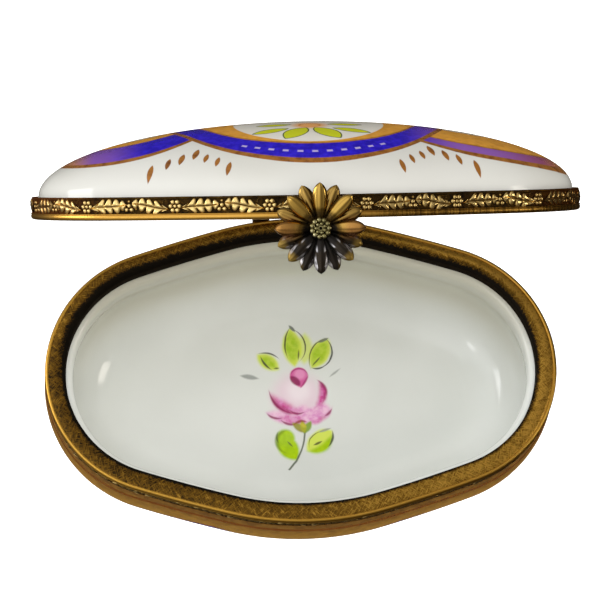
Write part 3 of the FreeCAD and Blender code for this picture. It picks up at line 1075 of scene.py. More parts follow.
@dataclass(frozen=True)
class PetalBrass(Brass):
    """Petals: gold, brightened by painted light on the upper ones; a painted dark gunmetal reflection with
    painted silver highlights on the lower; dark roots and edges.
    """

    turn: float = 0.0
    petals: int = 8
    half_width: float = 1.05
    # gunmetal is a painted dark reflection and silver a painted highlight, both for the lower petals
    copper: str = "B5764A"
    gunmetal: str = "2C2927"
    gilt: str = "A88C48"
    silver: str = "E4E2E8"

    def on_petal(self, shader: Shader) -> tuple[Field, Field]:
        """How far from the flower's middle, and how far to either side of the nearest petal's midrib.

        Args:
            shader: the tree to add nodes to.

        Returns:
            Both distances.
        """
        chart = shader.chart("plan")
        x, y, _ = shader.split(chart)
        radius = shader.node("ShaderNodeVectorMath", [chart], "Value", operation="LENGTH")
        angle = shader.node("ShaderNodeMath", [y, x], operation="ARCTAN2")
        apart = (angle - math.radians(self.turn)).wrap(2 * math.pi / self.petals)
        return radius, abs(radius * shader.node("ShaderNodeMath", [apart], operation="SINE"))

    def rubbing_and_shade(self, shader: Shader, rub_and_shade: Field) -> Field:
        """Follows each petal's own length and width, with painted light that brightens the upper petals.

        Args:
            shader: the tree to add nodes to.
            rub_and_shade: how much the noise says is rubbed.

        Returns:
            How much is rubbed bright, with the painted light.
        """
        _, y, _ = shader.split(shader.chart("plan"))
        radius, across = self.on_petal(shader)
        root = radius.ramp(3.4, 1.9)
        edge = across.ramp(self.half_width * 0.66, self.half_width * 0.98)
        # Painted light: the upper petals are brighter.
        upper = y.ramp(-2.8, 1.4)
        return rub_and_shade * 0.6 + 0.08 + upper * 0.34 - root * 0.4 - edge * 0.3

    def tone(self, shader: Shader, colour: Field) -> Field:
        """A painted dark gunmetal reflection with painted silver highlights on the lower petals' flanks, two
        gilt tips, and copper on the side petals.

        Args:
            shader: the tree to add nodes to.
            colour: the colour so far.

        Returns:
            The colour to use.
        """
        x, y, _ = shader.split(shader.chart("plan"))
        radius, across = self.on_petal(shader)
        low = y.ramp(-0.6, -2.4)
        gilt = radius.ramp(4.6, 5.6) * abs(x).ramp(2.2, 3.2)
        copper = abs(y).ramp(2.0, 0.6) * abs(x).ramp(2.4, 4.2) * 0.5
        colour = shader.mix(colour, tint(self.copper), copper)
        # Painted reflection: the lower petals are laid dark gunmetal, except their gilt tips.
        colour = shader.mix(colour, tint(self.gunmetal), low * (1 - gilt) * 0.92)
        colour = shader.mix(colour, tint(self.gilt), low * gilt * 0.6)
        # Painted highlights: broken silver streaks along the lower petals' flanks.
        streak = shader.noise(shader.join(radius * 0.25, across), 1.6, 2.0).ramp(0.42, 0.56)
        flank = abs(across - self.half_width * 0.62).ramp(0.3, 0.1) * radius.ramp(2.2, 3.2)
        return shader.mix(colour, tint(self.silver), flank * streak * low * (1 - gilt) * 0.9)


@dataclass(frozen=True)
class Plaster:
    """A dull gritty surface: cement, or the near-black matte lining of the ring's mouth, which is tarnish and
    painted shade.
    """

    name: str
    light: str = "B9B3A4"
    dark: str = "8F897B"
    shine: float = 0.5

    def material(self) -> bpy.types.Material:
        """Makes the material.

        Returns:
            The material.
        """
        shader = Shader(bpy.data.materials.new(self.name))
        grit = shader.noise(shader.place(), 6.0, 4.0, 0.7)
        colour = shader.mix(tint(self.light), tint(self.dark), grit.ramp(0.4, 0.7))
        return shader.surface(Base_Color=colour, Roughness=0.9, Specular_IOR_Level=self.shine,
                              Normal=shader.bump(grit, 0.02))


BARE_GLAZE = Glaze("lid_inner_glaze")
# The lid's outside and the bowl's inside are darker copies of the same white body: painted shade.
LID_GLAZE = LidGlaze("lid_painted_glaze", body="C8C8C4", shade="BAB9B2")
BOWL_GLAZE = BowlGlaze("base_painted_glaze")
BOWL_INTERIOR = BowlInterior("base_inner_glaze", body="DADDDA", shade="CDD0CB", relief=0.008)
# The two rings are one filed brass; their level and side-to-side settings differ to paint light and shade.
RING_BRASS = {
    Side.BASE: RingBrass("filed_brass", bright="C89A42", middle="72521B", dark="120D07", scratches=0.03,
                         level=0.2, shaded=-0.22, shade_start=-34.0, shade_end=36.0),
    Side.LID: RingBrass("filed_brass_lid", bright="D0A04A", middle="70511F", dark="120D07", scratches=0.025),
}
# Tarnish and painted shade: a near-black, almost unreflecting surface for the ring's lining in the mouth.
TARNISH_AND_SHADE = Plaster("tarnish_and_shade", light="1B140B", dark="0D0905", shine=0.03)
# The strip and its relief carry the painted warm reflection at the box's ends.
STRIP_BRASS = Brass("oxidised_brass", bright="7A5C2C", middle="443012", dark="120C06", wear=0.38,
                    rough=0.42, amber=0.5)
RELIEF_BRASS = ReliefBrass("rubbed_brass", bright="E9CB86", middle="A07A38", dark="1C1308", rough=0.27,
                           amber=0.55)
FRONT_PETAL_BRASS = PetalBrass("front_petal_brass", bright="BE9A4C", middle="6A5224", dark="120E0A",
                               rough=0.17, scratches=0.003)
BACK_PETAL_BRASS = PetalBrass("back_petal_brass", bright="A88848", middle="574321", dark="100D0A",
                              rough=0.2, scratches=0.003, turn=22.5)
STAMEN_BRASS = Brass("stamen_brass", bright="D6CFA8", middle="8E865A", dark="1A160E", wear=0.5, rough=0.16)
EYE_BRASS = Brass("blackened_brass", bright="8A6C26", middle="33260F", dark="0A0704", wear=0.3, rough=0.5)
HINGE_BRASS = Brass("hinge_brass", bright="A8823C", middle="5E421A", dark="1E150B", wear=0.46, rough=0.34)


# ------------------------------------------------------------------------------------ modelling helpers
def rounded(points: Sequence[Point], radius: float, steps: int = 3) -> list[Point]:
    """Rounds every corner of a closed profile.

    Args:
        points: the corners as (offset, z).
        radius: the distance from each corner at which its rounding starts.
        steps: how many places each rounding has.

    Returns:
        The new corners.
    """
    out: list[Point] = []
    count = len(points)
    for index, point in enumerate(points):
        corner = Vector(point)
        before, after = Vector(points[index - 1]), Vector(points[(index + 1) % count])
        reach_in = min(radius, (before - corner).length * 0.48)
        reach_out = min(radius, (after - corner).length * 0.48)
        start = corner + (before - corner).normalized() * reach_in
        end = corner + (after - corner).normalized() * reach_out
        path = interpolate_bezier(start, start.lerp(corner, 0.55), end.lerp(corner, 0.55), end, steps + 1)
        out.extend((p.x, p.y) for p in path)
    return out


def sweep(profile: Sequence[Point], closed: bool = True) -> BMesh:
    """Spins a profile round each arc of the outline in turn.

    Args:
        profile: places as (offset, z).
        closed: whether the last place joins the first.

    Returns:
        The swept skin.
    """
    bm = bmesh.new()
    arcs = OUTLINE.arcs()
    first = arcs[0]
    ray = Vector((math.cos(first.start), math.sin(first.start)))
    verts = []
    for offset, z in profile:
        flat = first.centre + ray * (first.radius + offset)
        verts.append(bm.verts.new((flat.x, flat.y, z)))
    pairs = list(zip(verts, verts[1:] + (verts[:1] if closed else [])))
    geom: list[Any] = verts + [bm.edges.new(pair) for pair in pairs]
    for arc in arcs:
        made = bmesh.ops.spin(bm, geom=geom, cent=(*arc.centre, 0), axis=(0, 0, 1), dvec=(0, 0, 0),
                              angle=arc.end - arc.start, steps=arc.steps, use_merge=False,
                              use_duplicate=False)
        geom = made["geom_last"]
    bmesh.ops.remove_doubles(bm, verts=bm.verts, dist=0.002)
    return bm


def ring_edges(bm: BMesh, z: float) -> list[BMEdge]:
    """The open edges of a skin at one height."""
    return [e for e in bm.edges if e.is_boundary and all(abs(v.co.z - z) < 0.01 for v in e.verts)]


def raise_dome(bm: BMesh, edges: list[BMEdge], rise: float, sections: int = 26) -> None:
    """Carries an open ring up and in to a pole, elliptical in every upright section.

    Args:
        bm: the skin.
        edges: the ring's edges.
        rise: the pole's height above the ring.
        sections: how many rings there are on the way.
    """
    floor_z = edges[0].verts[0].co.z
    width, height = 1.0, 0.0
    for index in range(1, sections + 1):
        turn = math.pi / 2 * index / (sections + 0.5)
        made = bmesh.ops.extrude_edge_only(bm, edges=edges)["geom"]
        verts = [g for g in made if isinstance(g, BMVert)]
        edges = [g for g in made if isinstance(g, BMEdge) and g.is_boundary]
        shrink = math.cos(turn) / width
        bmesh.ops.scale(bm, vec=(shrink, shrink, 1), verts=verts)
        bmesh.ops.translate(bm, vec=(0, 0, (math.sin(turn) - height) * rise), verts=verts)
        width, height = math.cos(turn), math.sin(turn)
    cap = bmesh.ops.contextual_create(bm, geom=edges)["faces"]
    pole = bmesh.ops.poke(bm, faces=cap)["verts"]
    pole[0].co = (0, 0, floor_z + rise)


class Motif:
    """A small shape that is stamped into larger pieces."""

    def __init__(self, bm: BMesh) -> None:
        """Keeps a finished shape and frees its bmesh.

        Args:
            bm: the finished shape.
        """
        self.mesh = bpy.data.meshes.new("motif")
        bm.to_mesh(self.mesh)
        bm.free()

    def stamp(self, bm: BMesh, place: Matrix, finish: int = 0) -> None:
        """Adds a copy to a piece.

        Args:
            bm: the piece.
            place: where the copy goes.
            finish: which of the piece's finishes it has.
        """
        copy = self.mesh.copy()
        copy.transform(place)
        copy.polygons.foreach_set("material_index", [finish] * len(copy.polygons))
        bm.from_mesh(copy)
        bpy.data.meshes.remove(copy)


@dataclass(frozen=True)
class Hinging:
    """Where the hinge pin runs, and how far the lid stands open at rest."""

    y: float = HINGE_JOINT["pos_m"][1] / MM
    z: float = HINGE_JOINT["pos_m"][2] / MM
    open_angle: float = -HINGE_JOINT["range_deg"][0]

    def swing(self) -> Matrix:
        """The turn that carries a shut lid piece to its rest place.

        Returns:
            Its matrix.
        """
        middle = Vector((0, self.y, self.z))
        turn = Matrix.Rotation(math.radians(-self.open_angle), 4, "X")
        return Matrix.Translation(middle) @ turn @ Matrix.Translation(-middle)


@dataclass(frozen=True)
class Rims:
    """The sizes that porcelain, brass and clasp share, on heights with the lid shut."""

    top: float = round(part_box("base_ring")[1][2] / MM, 3)
    gap: float = 0.1
    height: float = 3.3
    ring: float = 1.0
    ring_width: float = 3.2
    cement: float = 0.3
    lip_depth: float = 1.4
    neck: float = -1.0
    mouth: float = -2.75

    @property
    def lid_z(self) -> float:
        """Where the lid's brass starts."""
        return self.top + self.gap


HINGE = Hinging()
RIMS = Rims()


@dataclass
class Piece:
    """One finished piece of the part."""

    name: str
    body: Side
    nodes: tuple[str, ...]
    slot: str
    finishes: tuple[Any, ...]
    sharp: float = 38.0
    local: Optional[Matrix] = None

    def complete(self, bm: BMesh) -> bpy.types.Object:
        """Maps, places and dresses a shape, and says what it stands for.

        Args:
            bm: the shape in millimetres, with the lid shut.

        Returns:
            The new object.
        """
        bmesh.ops.recalc_face_normals(bm, faces=bm.faces)
        self.map_charts(bm)
        if self.body is Side.LID:
            bmesh.ops.transform(bm, matrix=HINGE.swing(), verts=bm.verts)
        bmesh.ops.scale(bm, vec=(MM, MM, MM), verts=bm.verts)
        mesh = bpy.data.meshes.new(self.name)
        bm.to_mesh(mesh)
        bm.free()
        mesh.set_sharp_from_angle(angle=math.radians(self.sharp))
        made = bpy.data.objects.new(self.name, mesh)
        bpy.context.scene.collection.objects.link(made)
        for finish in self.finishes:
            mesh.materials.append(wear(finish))
        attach(made, self.body.value)
        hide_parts(*self.nodes)
        LOG.info("%s: %d faces, stands for %s", self.name, len(mesh.polygons), ", ".join(self.nodes))
        return made

    def map_charts(self, bm: BMesh) -> None:
        """Writes three charts in millimetres: the plan, round and height, and round and outwards.

        Args:
            bm: the shape.
        """
        plan, wrap, rim = (bm.loops.layers.uv.new(name) for name in ("plan", "wrap", "rim"))
        half = 2 * OUTLINE.quarter_length()
        places = {v: OUTLINE.locate(v.co.x, v.co.y) for v in bm.verts}
        for face in bm.faces:
            face.smooth = True
            centre = face.calc_center_median()
            middle, _ = OUTLINE.locate(centre.x, centre.y)
            for loop in face.loops:
                co = loop.vert.co
                flat = self.local @ co if self.local else co
                away, out = places[loop.vert]
                if abs(away - middle) > half:
                    away += math.copysign(2 * half, middle)
                loop[plan].uv = (flat.x, flat.y)
                loop[wrap].uv = (away, co.z)
                loop[rim].uv = (away, out)


WORN: dict[str, bpy.types.Material] = {}


def wear(finish: Any) -> bpy.types.Material:
    """The material of a finish, made once.

    Args:
        finish: the finish.

    Returns:
        Its material.
    """
    if finish.name not in WORN:
        WORN[finish.name] = finish.material()
    return WORN[finish.name]


# ------------------------------------------------------------------------------------ porcelain
@dataclass
class BasePorcelain:
    """The bellied bowl on its foot ring."""

    floor: float = 3.2
    corner: float = 8.5
    draft: float = 4.0
    foot_recess: float = 0.9
    core: float = 14.5
    shoulder_out: float = -0.15
    belly: Point = (0.6, 15.2)
    haunch: Point = (-3.2, 5.2)
    waist_out: float = -8.05
    foot: tuple[Point, ...] = ((-8.25, 0.3), (-8.55, 0.02), (-10.6, 0.0), (-10.95, 0.25), (-11.15, 0.7),
                               (-11.45, 0.9))

    def inner_profile(self) -> list[Point]:
        """From the middle of the floor up to the mouth's edge.

        Returns:
            Places as (offset, z).
        """
        draft = math.radians(self.draft)
        centre_z = self.floor + self.corner
        wall_z = centre_z - self.corner * math.sin(draft)
        lip_z = RIMS.top - RIMS.ring - RIMS.lip_depth
        wall = RIMS.mouth - (lip_z - wall_z) * math.tan(draft)
        centre = wall - self.corner * math.cos(draft)
        points = [(-self.core, self.floor)]
        steps = 12
        for index in range(steps + 1):
            turn = -math.pi / 2 + (math.pi / 2 - draft) * index / steps
            points.append((centre + self.corner * math.cos(turn), centre_z + self.corner * math.sin(turn)))
        edge = RIMS.top - RIMS.ring - RIMS.cement
        start, nose = Vector((wall + 0.1, lip_z - 8.5)), Vector((RIMS.mouth - 1.5, lip_z - 1.35))
        top = Vector((RIMS.mouth - 0.2, lip_z - 0.06))
        roll = interpolate_bezier(start, start + Vector((0.15, 2.6)), nose - Vector((0, 2.8)), nose, 14)
        roll += interpolate_bezier(nose, nose + Vector((0, 0.8)), top - Vector((0.95, 0)), top, 10)[1:]
        return points + [(p.x, p.y) for p in roll] + [(RIMS.mouth, lip_z - 0.05), (RIMS.mouth, edge)]

    def outer_profile(self) -> list[Point]:
        """From the neck under the brass down the belly to the underside.

        Returns:
            Places as (offset, z).
        """
        shoulder = Vector((self.shoulder_out, RIMS.top - RIMS.height))
        belly, haunch = Vector(self.belly), Vector(self.haunch)
        waist = Vector((self.waist_out, self.foot_recess))
        curves = ((shoulder, Vector((0.45, -1.6)), Vector((0.05, 1.8)), belly, 9),
                  (belly, Vector((-0.15, -4.2)), Vector((1.9, 2.3)), haunch, 14),
                  (haunch, Vector((-1.7, -2.1)), Vector((1.2, 1.2)), waist, 8))
        points = [(RIMS.neck, RIMS.top - RIMS.ring - RIMS.cement), (RIMS.neck, shoulder.y), tuple(shoulder)]
        for start, leave, arrive, end, places in curves:
            path = interpolate_bezier(start, start + leave, end + arrive, end, places)
            points += [(p.x, p.y) for p in path[1:]]
        return points + list(self.foot) + [(-self.core, self.foot_recess)]

    def build(self) -> None:
        """Sweeps the wall, closes floor and underside, and glazes inside and out."""
        inner = self.inner_profile()
        bm = sweep(inner + self.outer_profile(), closed=False)
        bmesh.ops.holes_fill(bm, edges=[e for e in bm.edges if e.is_boundary], sides=0)
        bmesh.ops.recalc_face_normals(bm, faces=bm.faces)
        for face in bm.faces:
            spot = face.calc_center_median()
            inward = face.normal.x * spot.x + face.normal.y * spot.y < -0.001
            on_floor = face.normal.z > 0.99 and spot.z < self.floor + 1
            face.material_index = int(on_floor or inward and spot.z > self.floor - 0.1)
        glazes = (BOWL_GLAZE, BOWL_INTERIOR)
        Piece("base_porcelain", Side.BASE, ("base_bowl",), "porcelain", glazes, 45).complete(bm)


@dataclass
class LidPorcelain:
    """The domed shell of the lid on the neck that the brass grips."""

    step: float = 0.15
    rise: float = 10.55
    wall: float = 2.1

    def build(self) -> None:
        """Sweeps the neck, raises both domes from it and paints the outer one."""
        edge, spring = RIMS.lid_z + RIMS.ring + RIMS.cement, RIMS.lid_z + RIMS.height
        lip = RIMS.lid_z + RIMS.ring + RIMS.lip_depth
        bm = sweep([(RIMS.mouth, lip), (RIMS.mouth, edge), (RIMS.neck, edge), (RIMS.neck, spring),
                    (RIMS.neck - self.step, spring)], closed=False)
        outer, inner = ring_edges(bm, spring), ring_edges(bm, lip)
        raise_dome(bm, outer, self.rise)
        raise_dome(bm, inner, spring + self.rise - self.wall - lip)
        bmesh.ops.recalc_face_normals(bm, faces=bm.faces)
        for face in bm.faces:
            spot = face.calc_center_median()
            outward = face.normal.dot(Vector((spot.x, spot.y, (spot.z - RIMS.lid_z) * 3)))
            face.material_index = int(outward < 0)
        glazes = (LID_GLAZE, BARE_GLAZE)
        Piece("lid_porcelain", Side.LID, ("lid_dome",), "porcelain", glazes, 45).complete(bm)


# ------------------------------------------------------------------------------------ brass rims
@dataclass
class Frieze:
    """The ornaments of a gallery strip, drawn flat with X along it, Y up and Z outwards."""

    leaf_length: float = 5.9
    leaf_half: float = 1.2
    height: float = 0.28

    def leaf(self) -> Motif:
        """A broad leaf with lobed sides, a sunk midrib and side veins, its tip towards +X.

        Returns:
            The leaf.
        """
        bm = bmesh.new()
        bmesh.ops.create_grid(bm, x_segments=40, y_segments=10, size=1.0)
        for vert in bm.verts:
            along, across = vert.co.x, vert.co.y
            body = max(0.0, 1 - abs(along) ** 3.2) ** 0.6 * (0.92 - 0.16 * along)
            lobes = math.cos((along + 0.1 * abs(across)) * math.pi * 4.5)
            lean = 0.42 * abs(across) * (1 - along) * 0.5
            vert.co.x = (along * 0.97 + lean) * self.leaf_length / 2
            vert.co.y = across * self.leaf_half * body * (0.88 + 0.12 * lobes) + 0.12 * math.sin(along * 2.6)
            crown = self.height * (1 - 0.7 * across**4)
            rib = 0.17 * math.exp(-(across / 0.1) ** 2)
            vein = 0.2 * max(0.0, -lobes) ** 2 * min(1.0, 2.2 * abs(across))
            vert.co.z = (crown - rib - vein) * min(1.0, 4 * body) - 0.03
        return Motif(bm)

    def beads(self, spots: Iterable[tuple[float, float, float]], flat: float) -> Motif:
        """Low round beads.

        Args:
            spots: each bead's place and radius.
            flat: its height as a share of its radius.

        Returns:
            The beads.
        """
        bm = bmesh.new()
        for x, y, radius in spots:
            place = Matrix.Translation((x, y, 0.0)) @ Matrix.Diagonal((1, 1, flat, 1))
            bmesh.ops.create_icosphere(bm, subdivisions=2, radius=radius, matrix=place)
        return Motif(bm)

    def rosette(self) -> Motif:
        """Six round petals about a small eye.

        Returns:
            The rosette.
        """
        turns = (math.radians(60 * index) for index in range(6))
        ring = [(0.64 * math.cos(turn), 0.64 * math.sin(turn), 0.37) for turn in turns]
        return self.beads(ring + [(0.0, 0.0, 0.32)], 0.7)

    def berries(self) -> Motif:
        """Five berries and their tendril buds.

        Returns:
            The berries.
        """
        spots = [(-0.36, 0.42, 0.34), (0.36, 0.42, 0.34), (0.0, -0.12, 0.36), (0.62, -0.3, 0.28),
                 (-0.62, -0.3, 0.28), (0.0, -0.72, 0.24), (1.02, 0.34, 0.2), (-1.02, 0.34, 0.2)]
        return self.beads(spots, 0.7)

    def tendril(self) -> Motif:
        """A thin curled stalk that fills the ground between ornaments."""
        turns = [0.5 * step for step in range(9)]
        spots = [(0.42 * math.cos(turn), 0.42 * math.sin(turn), 0.13 - 0.012 * turn) for turn in turns]
        return self.beads(spots, 0.9)


@dataclass
class RimSet:
    """The brass of one half of the box: a closing ring and a gallery strip with its frieze."""

    side: Side
    lip: float = 0.4
    roll_width: float = 0.62
    strip_height: float = 2.3
    strip_thickness: float = 0.65
    recess: float = 0.3
    bead: float = 0.3
    repeats: int = 16

    def turned_over(self, bm: BMesh) -> BMesh:
        """Mirrors a base rim piece over the parting plane when this set is the lid's.

        Args:
            bm: the piece as it is on the base.

        Returns:
            The same piece.
        """
        if self.side is Side.LID:
            bmesh.ops.scale(bm, vec=(1, 1, -1), verts=bm.verts)
            bmesh.ops.translate(bm, vec=(0, 0, RIMS.top + RIMS.lid_z), verts=bm.verts)
        return bm

    def build(self) -> None:
        """Makes the ring and the strip."""
        self.build_ring()
        self.build_strip()

    def build_ring(self) -> None:
        """The flat ring with softened edges and the lip that lines the mouth."""
        top, under, inner = RIMS.top, RIMS.top - RIMS.ring, -RIMS.ring_width
        valley = Vector((-self.roll_width, top - 0.2))
        roll = interpolate_bezier(Vector((0, under + 0.45)), Vector((0, top - 0.08)),
                                  Vector((-0.5, top + 0.12)), valley, 9)
        flat = interpolate_bezier(valley, Vector((-1.0, top + 0.02)), Vector((-2.1, top + 0.02)),
                                  Vector((inner + 0.45, top - 0.2)), 10)
        shape = rounded([(inner + self.lip, under), (0.0, under), (0.0, under + 0.2)], 0.1, 2)
        shape += [(p.x, min(p.y, top)) for p in roll + flat[1:]]
        shape += rounded([(inner, top - 0.5), (inner, under - RIMS.lip_depth),
                          (inner + self.lip, under - RIMS.lip_depth)], 0.08, 2)
        bm = sweep(shape)
        for face in bm.faces:
            spot = face.calc_center_median()
            in_mouth = OUTLINE.locate(spot.x, spot.y)[1] < inner + 0.1
            # The ring's upright faces in the mouth get the near-black tarnish and painted shade.
            face.material_index = int(in_mouth and abs(face.normal.z) < 0.7)
        name = self.side.value
        finishes = (RING_BRASS[self.side], TARNISH_AND_SHADE)
        ring = Piece(f"{name}_rim_ring", self.side, (f"{name}_ring",), "antique_brass", finishes, 50)
        ring.complete(self.turned_over(bm))

    def build_strip(self) -> None:
        """The upright strip, its plain lower bead and the leaves, rosettes and berries along it."""
        top, foot = RIMS.top - RIMS.ring, RIMS.top - RIMS.ring - self.strip_height
        outer, inner = -self.recess, -self.recess - self.strip_thickness
        shape = rounded([(inner, foot), (outer + 0.1, foot), (outer + 0.1, foot + self.bead),
                         (outer, foot + self.bead + 0.08), (outer, top), (inner, top)], 0.08, 3)
        bm = sweep(shape)
        frieze = Frieze()
        leaf, rosette, berries, tendril = frieze.leaf(), frieze.rosette(), frieze.berries(), frieze.tendril()
        pitch = 4 * OUTLINE.quarter_length() / self.repeats
        middle = foot + self.bead + (self.strip_height - self.bead) / 2 + 0.02
        slope = math.radians(7)
        repeat = ((0.0, 0.0, rosette, 0.0), (0.26, 0.0, leaf, -slope), (0.5, 0.0, berries, 0.0),
                  (0.74, 0.0, leaf, math.pi + slope), (0.1, 0.55, tendril, 0.0),
                  (0.9, -0.55, tendril, math.pi), (0.42, -0.6, tendril, 1.0), (0.58, 0.6, tendril, 2.0))
        for index in range(self.repeats):
            start = (index - self.repeats / 2 + 0.5) * pitch
            for along, rise, motif, turn in repeat:
                place = OUTLINE.mount(self.around(start + along * pitch), outer, middle + rise)
                motif.stamp(bm, place @ Matrix.Rotation(turn, 4, "Z"), 1)
        name = self.side.value
        Piece(f"{name}_rim_gallery", self.side, (f"{name}_gallery",), "antique_brass",
              (STRIP_BRASS, RELIEF_BRASS), 50).complete(self.turned_over(bm))

    def around(self, distance: float) -> float:
        """A distance round the outline brought back to within half a turn of the front."""
        half = 2 * OUTLINE.quarter_length()
        return (distance + half) % (2 * half) - half


# ------------------------------------------------------------------------------------ hinge
@dataclass
class KnuckleHinge:
    """Five knuckles, alternately brazed to base and lid, on one peened pin."""

    radius: float = 1.25
    length: float = 2.8
    gap: float = 0.1
    tab_height: float = 2.4
    pin_radius: float = 0.6
    head_radius: float = 0.95
    head_thickness: float = 0.35

    def start(self, index: int) -> float:
        """Where a knuckle begins along the pin."""
        pitch = self.length + self.gap
        return -(5 * pitch - self.gap) / 2 + index * pitch

    def rod(self, bm: BMesh, x: float, length: float, radius: float, bevel: float) -> None:
        """Adds a round rod along X with softened ends.

        Args:
            bm: the piece to add it to.
            x: where it starts along the pin.
            length: its length.
            radius: its radius.
            bevel: how far its ends are softened.
        """
        place = Matrix.Translation((x + length / 2, HINGE.y, HINGE.z)) @ Matrix.Rotation(math.pi / 2, 4, "Y")
        made = bmesh.ops.create_cone(bm, cap_ends=True, segments=40, radius1=radius, radius2=radius,
                                     depth=length, matrix=place)["verts"]
        ends = {e for v in made for e in v.link_edges if abs(e.verts[0].co.x - e.verts[1].co.x) < 1e-5}
        bmesh.ops.bevel(bm, geom=list(ends), offset=bevel, offset_type="OFFSET", segments=3, profile=0.5,
                        affect="EDGES", material=-1)

    def knuckle(self, name: str, index: int, side: Side) -> None:
        """One knuckle with the tab behind its rim.

        Args:
            name: what it is called.
            index: which it is, from the left.
            side: which half of the box it belongs to.
        """
        bm = bmesh.new()
        x = self.start(index)
        self.rod(bm, x, self.length, self.radius, 0.12)
        inner = OUTLINE.width / 2 + 0.02
        low = HINGE.z - 0.05 - self.tab_height if side is Side.BASE else HINGE.z + 0.05
        middle = Vector((x + self.length / 2, (inner + HINGE.y) / 2 - 0.1, low + self.tab_height / 2))
        size = Matrix.Diagonal((self.length, HINGE.y - inner - 0.2, self.tab_height, 1))
        tab = bmesh.ops.create_cube(bm, size=1.0, matrix=Matrix.Translation(middle) @ size)["verts"]
        edges = {e for v in tab for e in v.link_edges}
        bmesh.ops.bevel(bm, geom=list(edges), offset=0.12, offset_type="OFFSET", segments=2, profile=0.5,
                        affect="EDGES", material=-1)
        Piece(f"{name}_brass", side, (name,), "antique_brass", (HINGE_BRASS,)).complete(bm)

    def build(self) -> None:
        """Makes the knuckles and the pin."""
        for name, index in (("left", 0), ("centre", 2), ("right", 4)):
            self.knuckle(f"hinge_knuckle_base_{name}", index, Side.BASE)
        for name, index in (("left", 1), ("right", 3)):
            self.knuckle(f"hinge_knuckle_lid_{name}", index, Side.LID)
        bm = bmesh.new()
        end = -self.start(0)
        self.rod(bm, -end, 2 * end, self.pin_radius, 0.05)
        for x in (-end - self.head_thickness, end):
            self.rod(bm, x, self.head_thickness, self.head_radius, 0.16)
        Piece("hinge_pin_brass", Side.BASE, ("hinge_pin",), "antique_brass", (HINGE_BRASS,)).complete(bm)


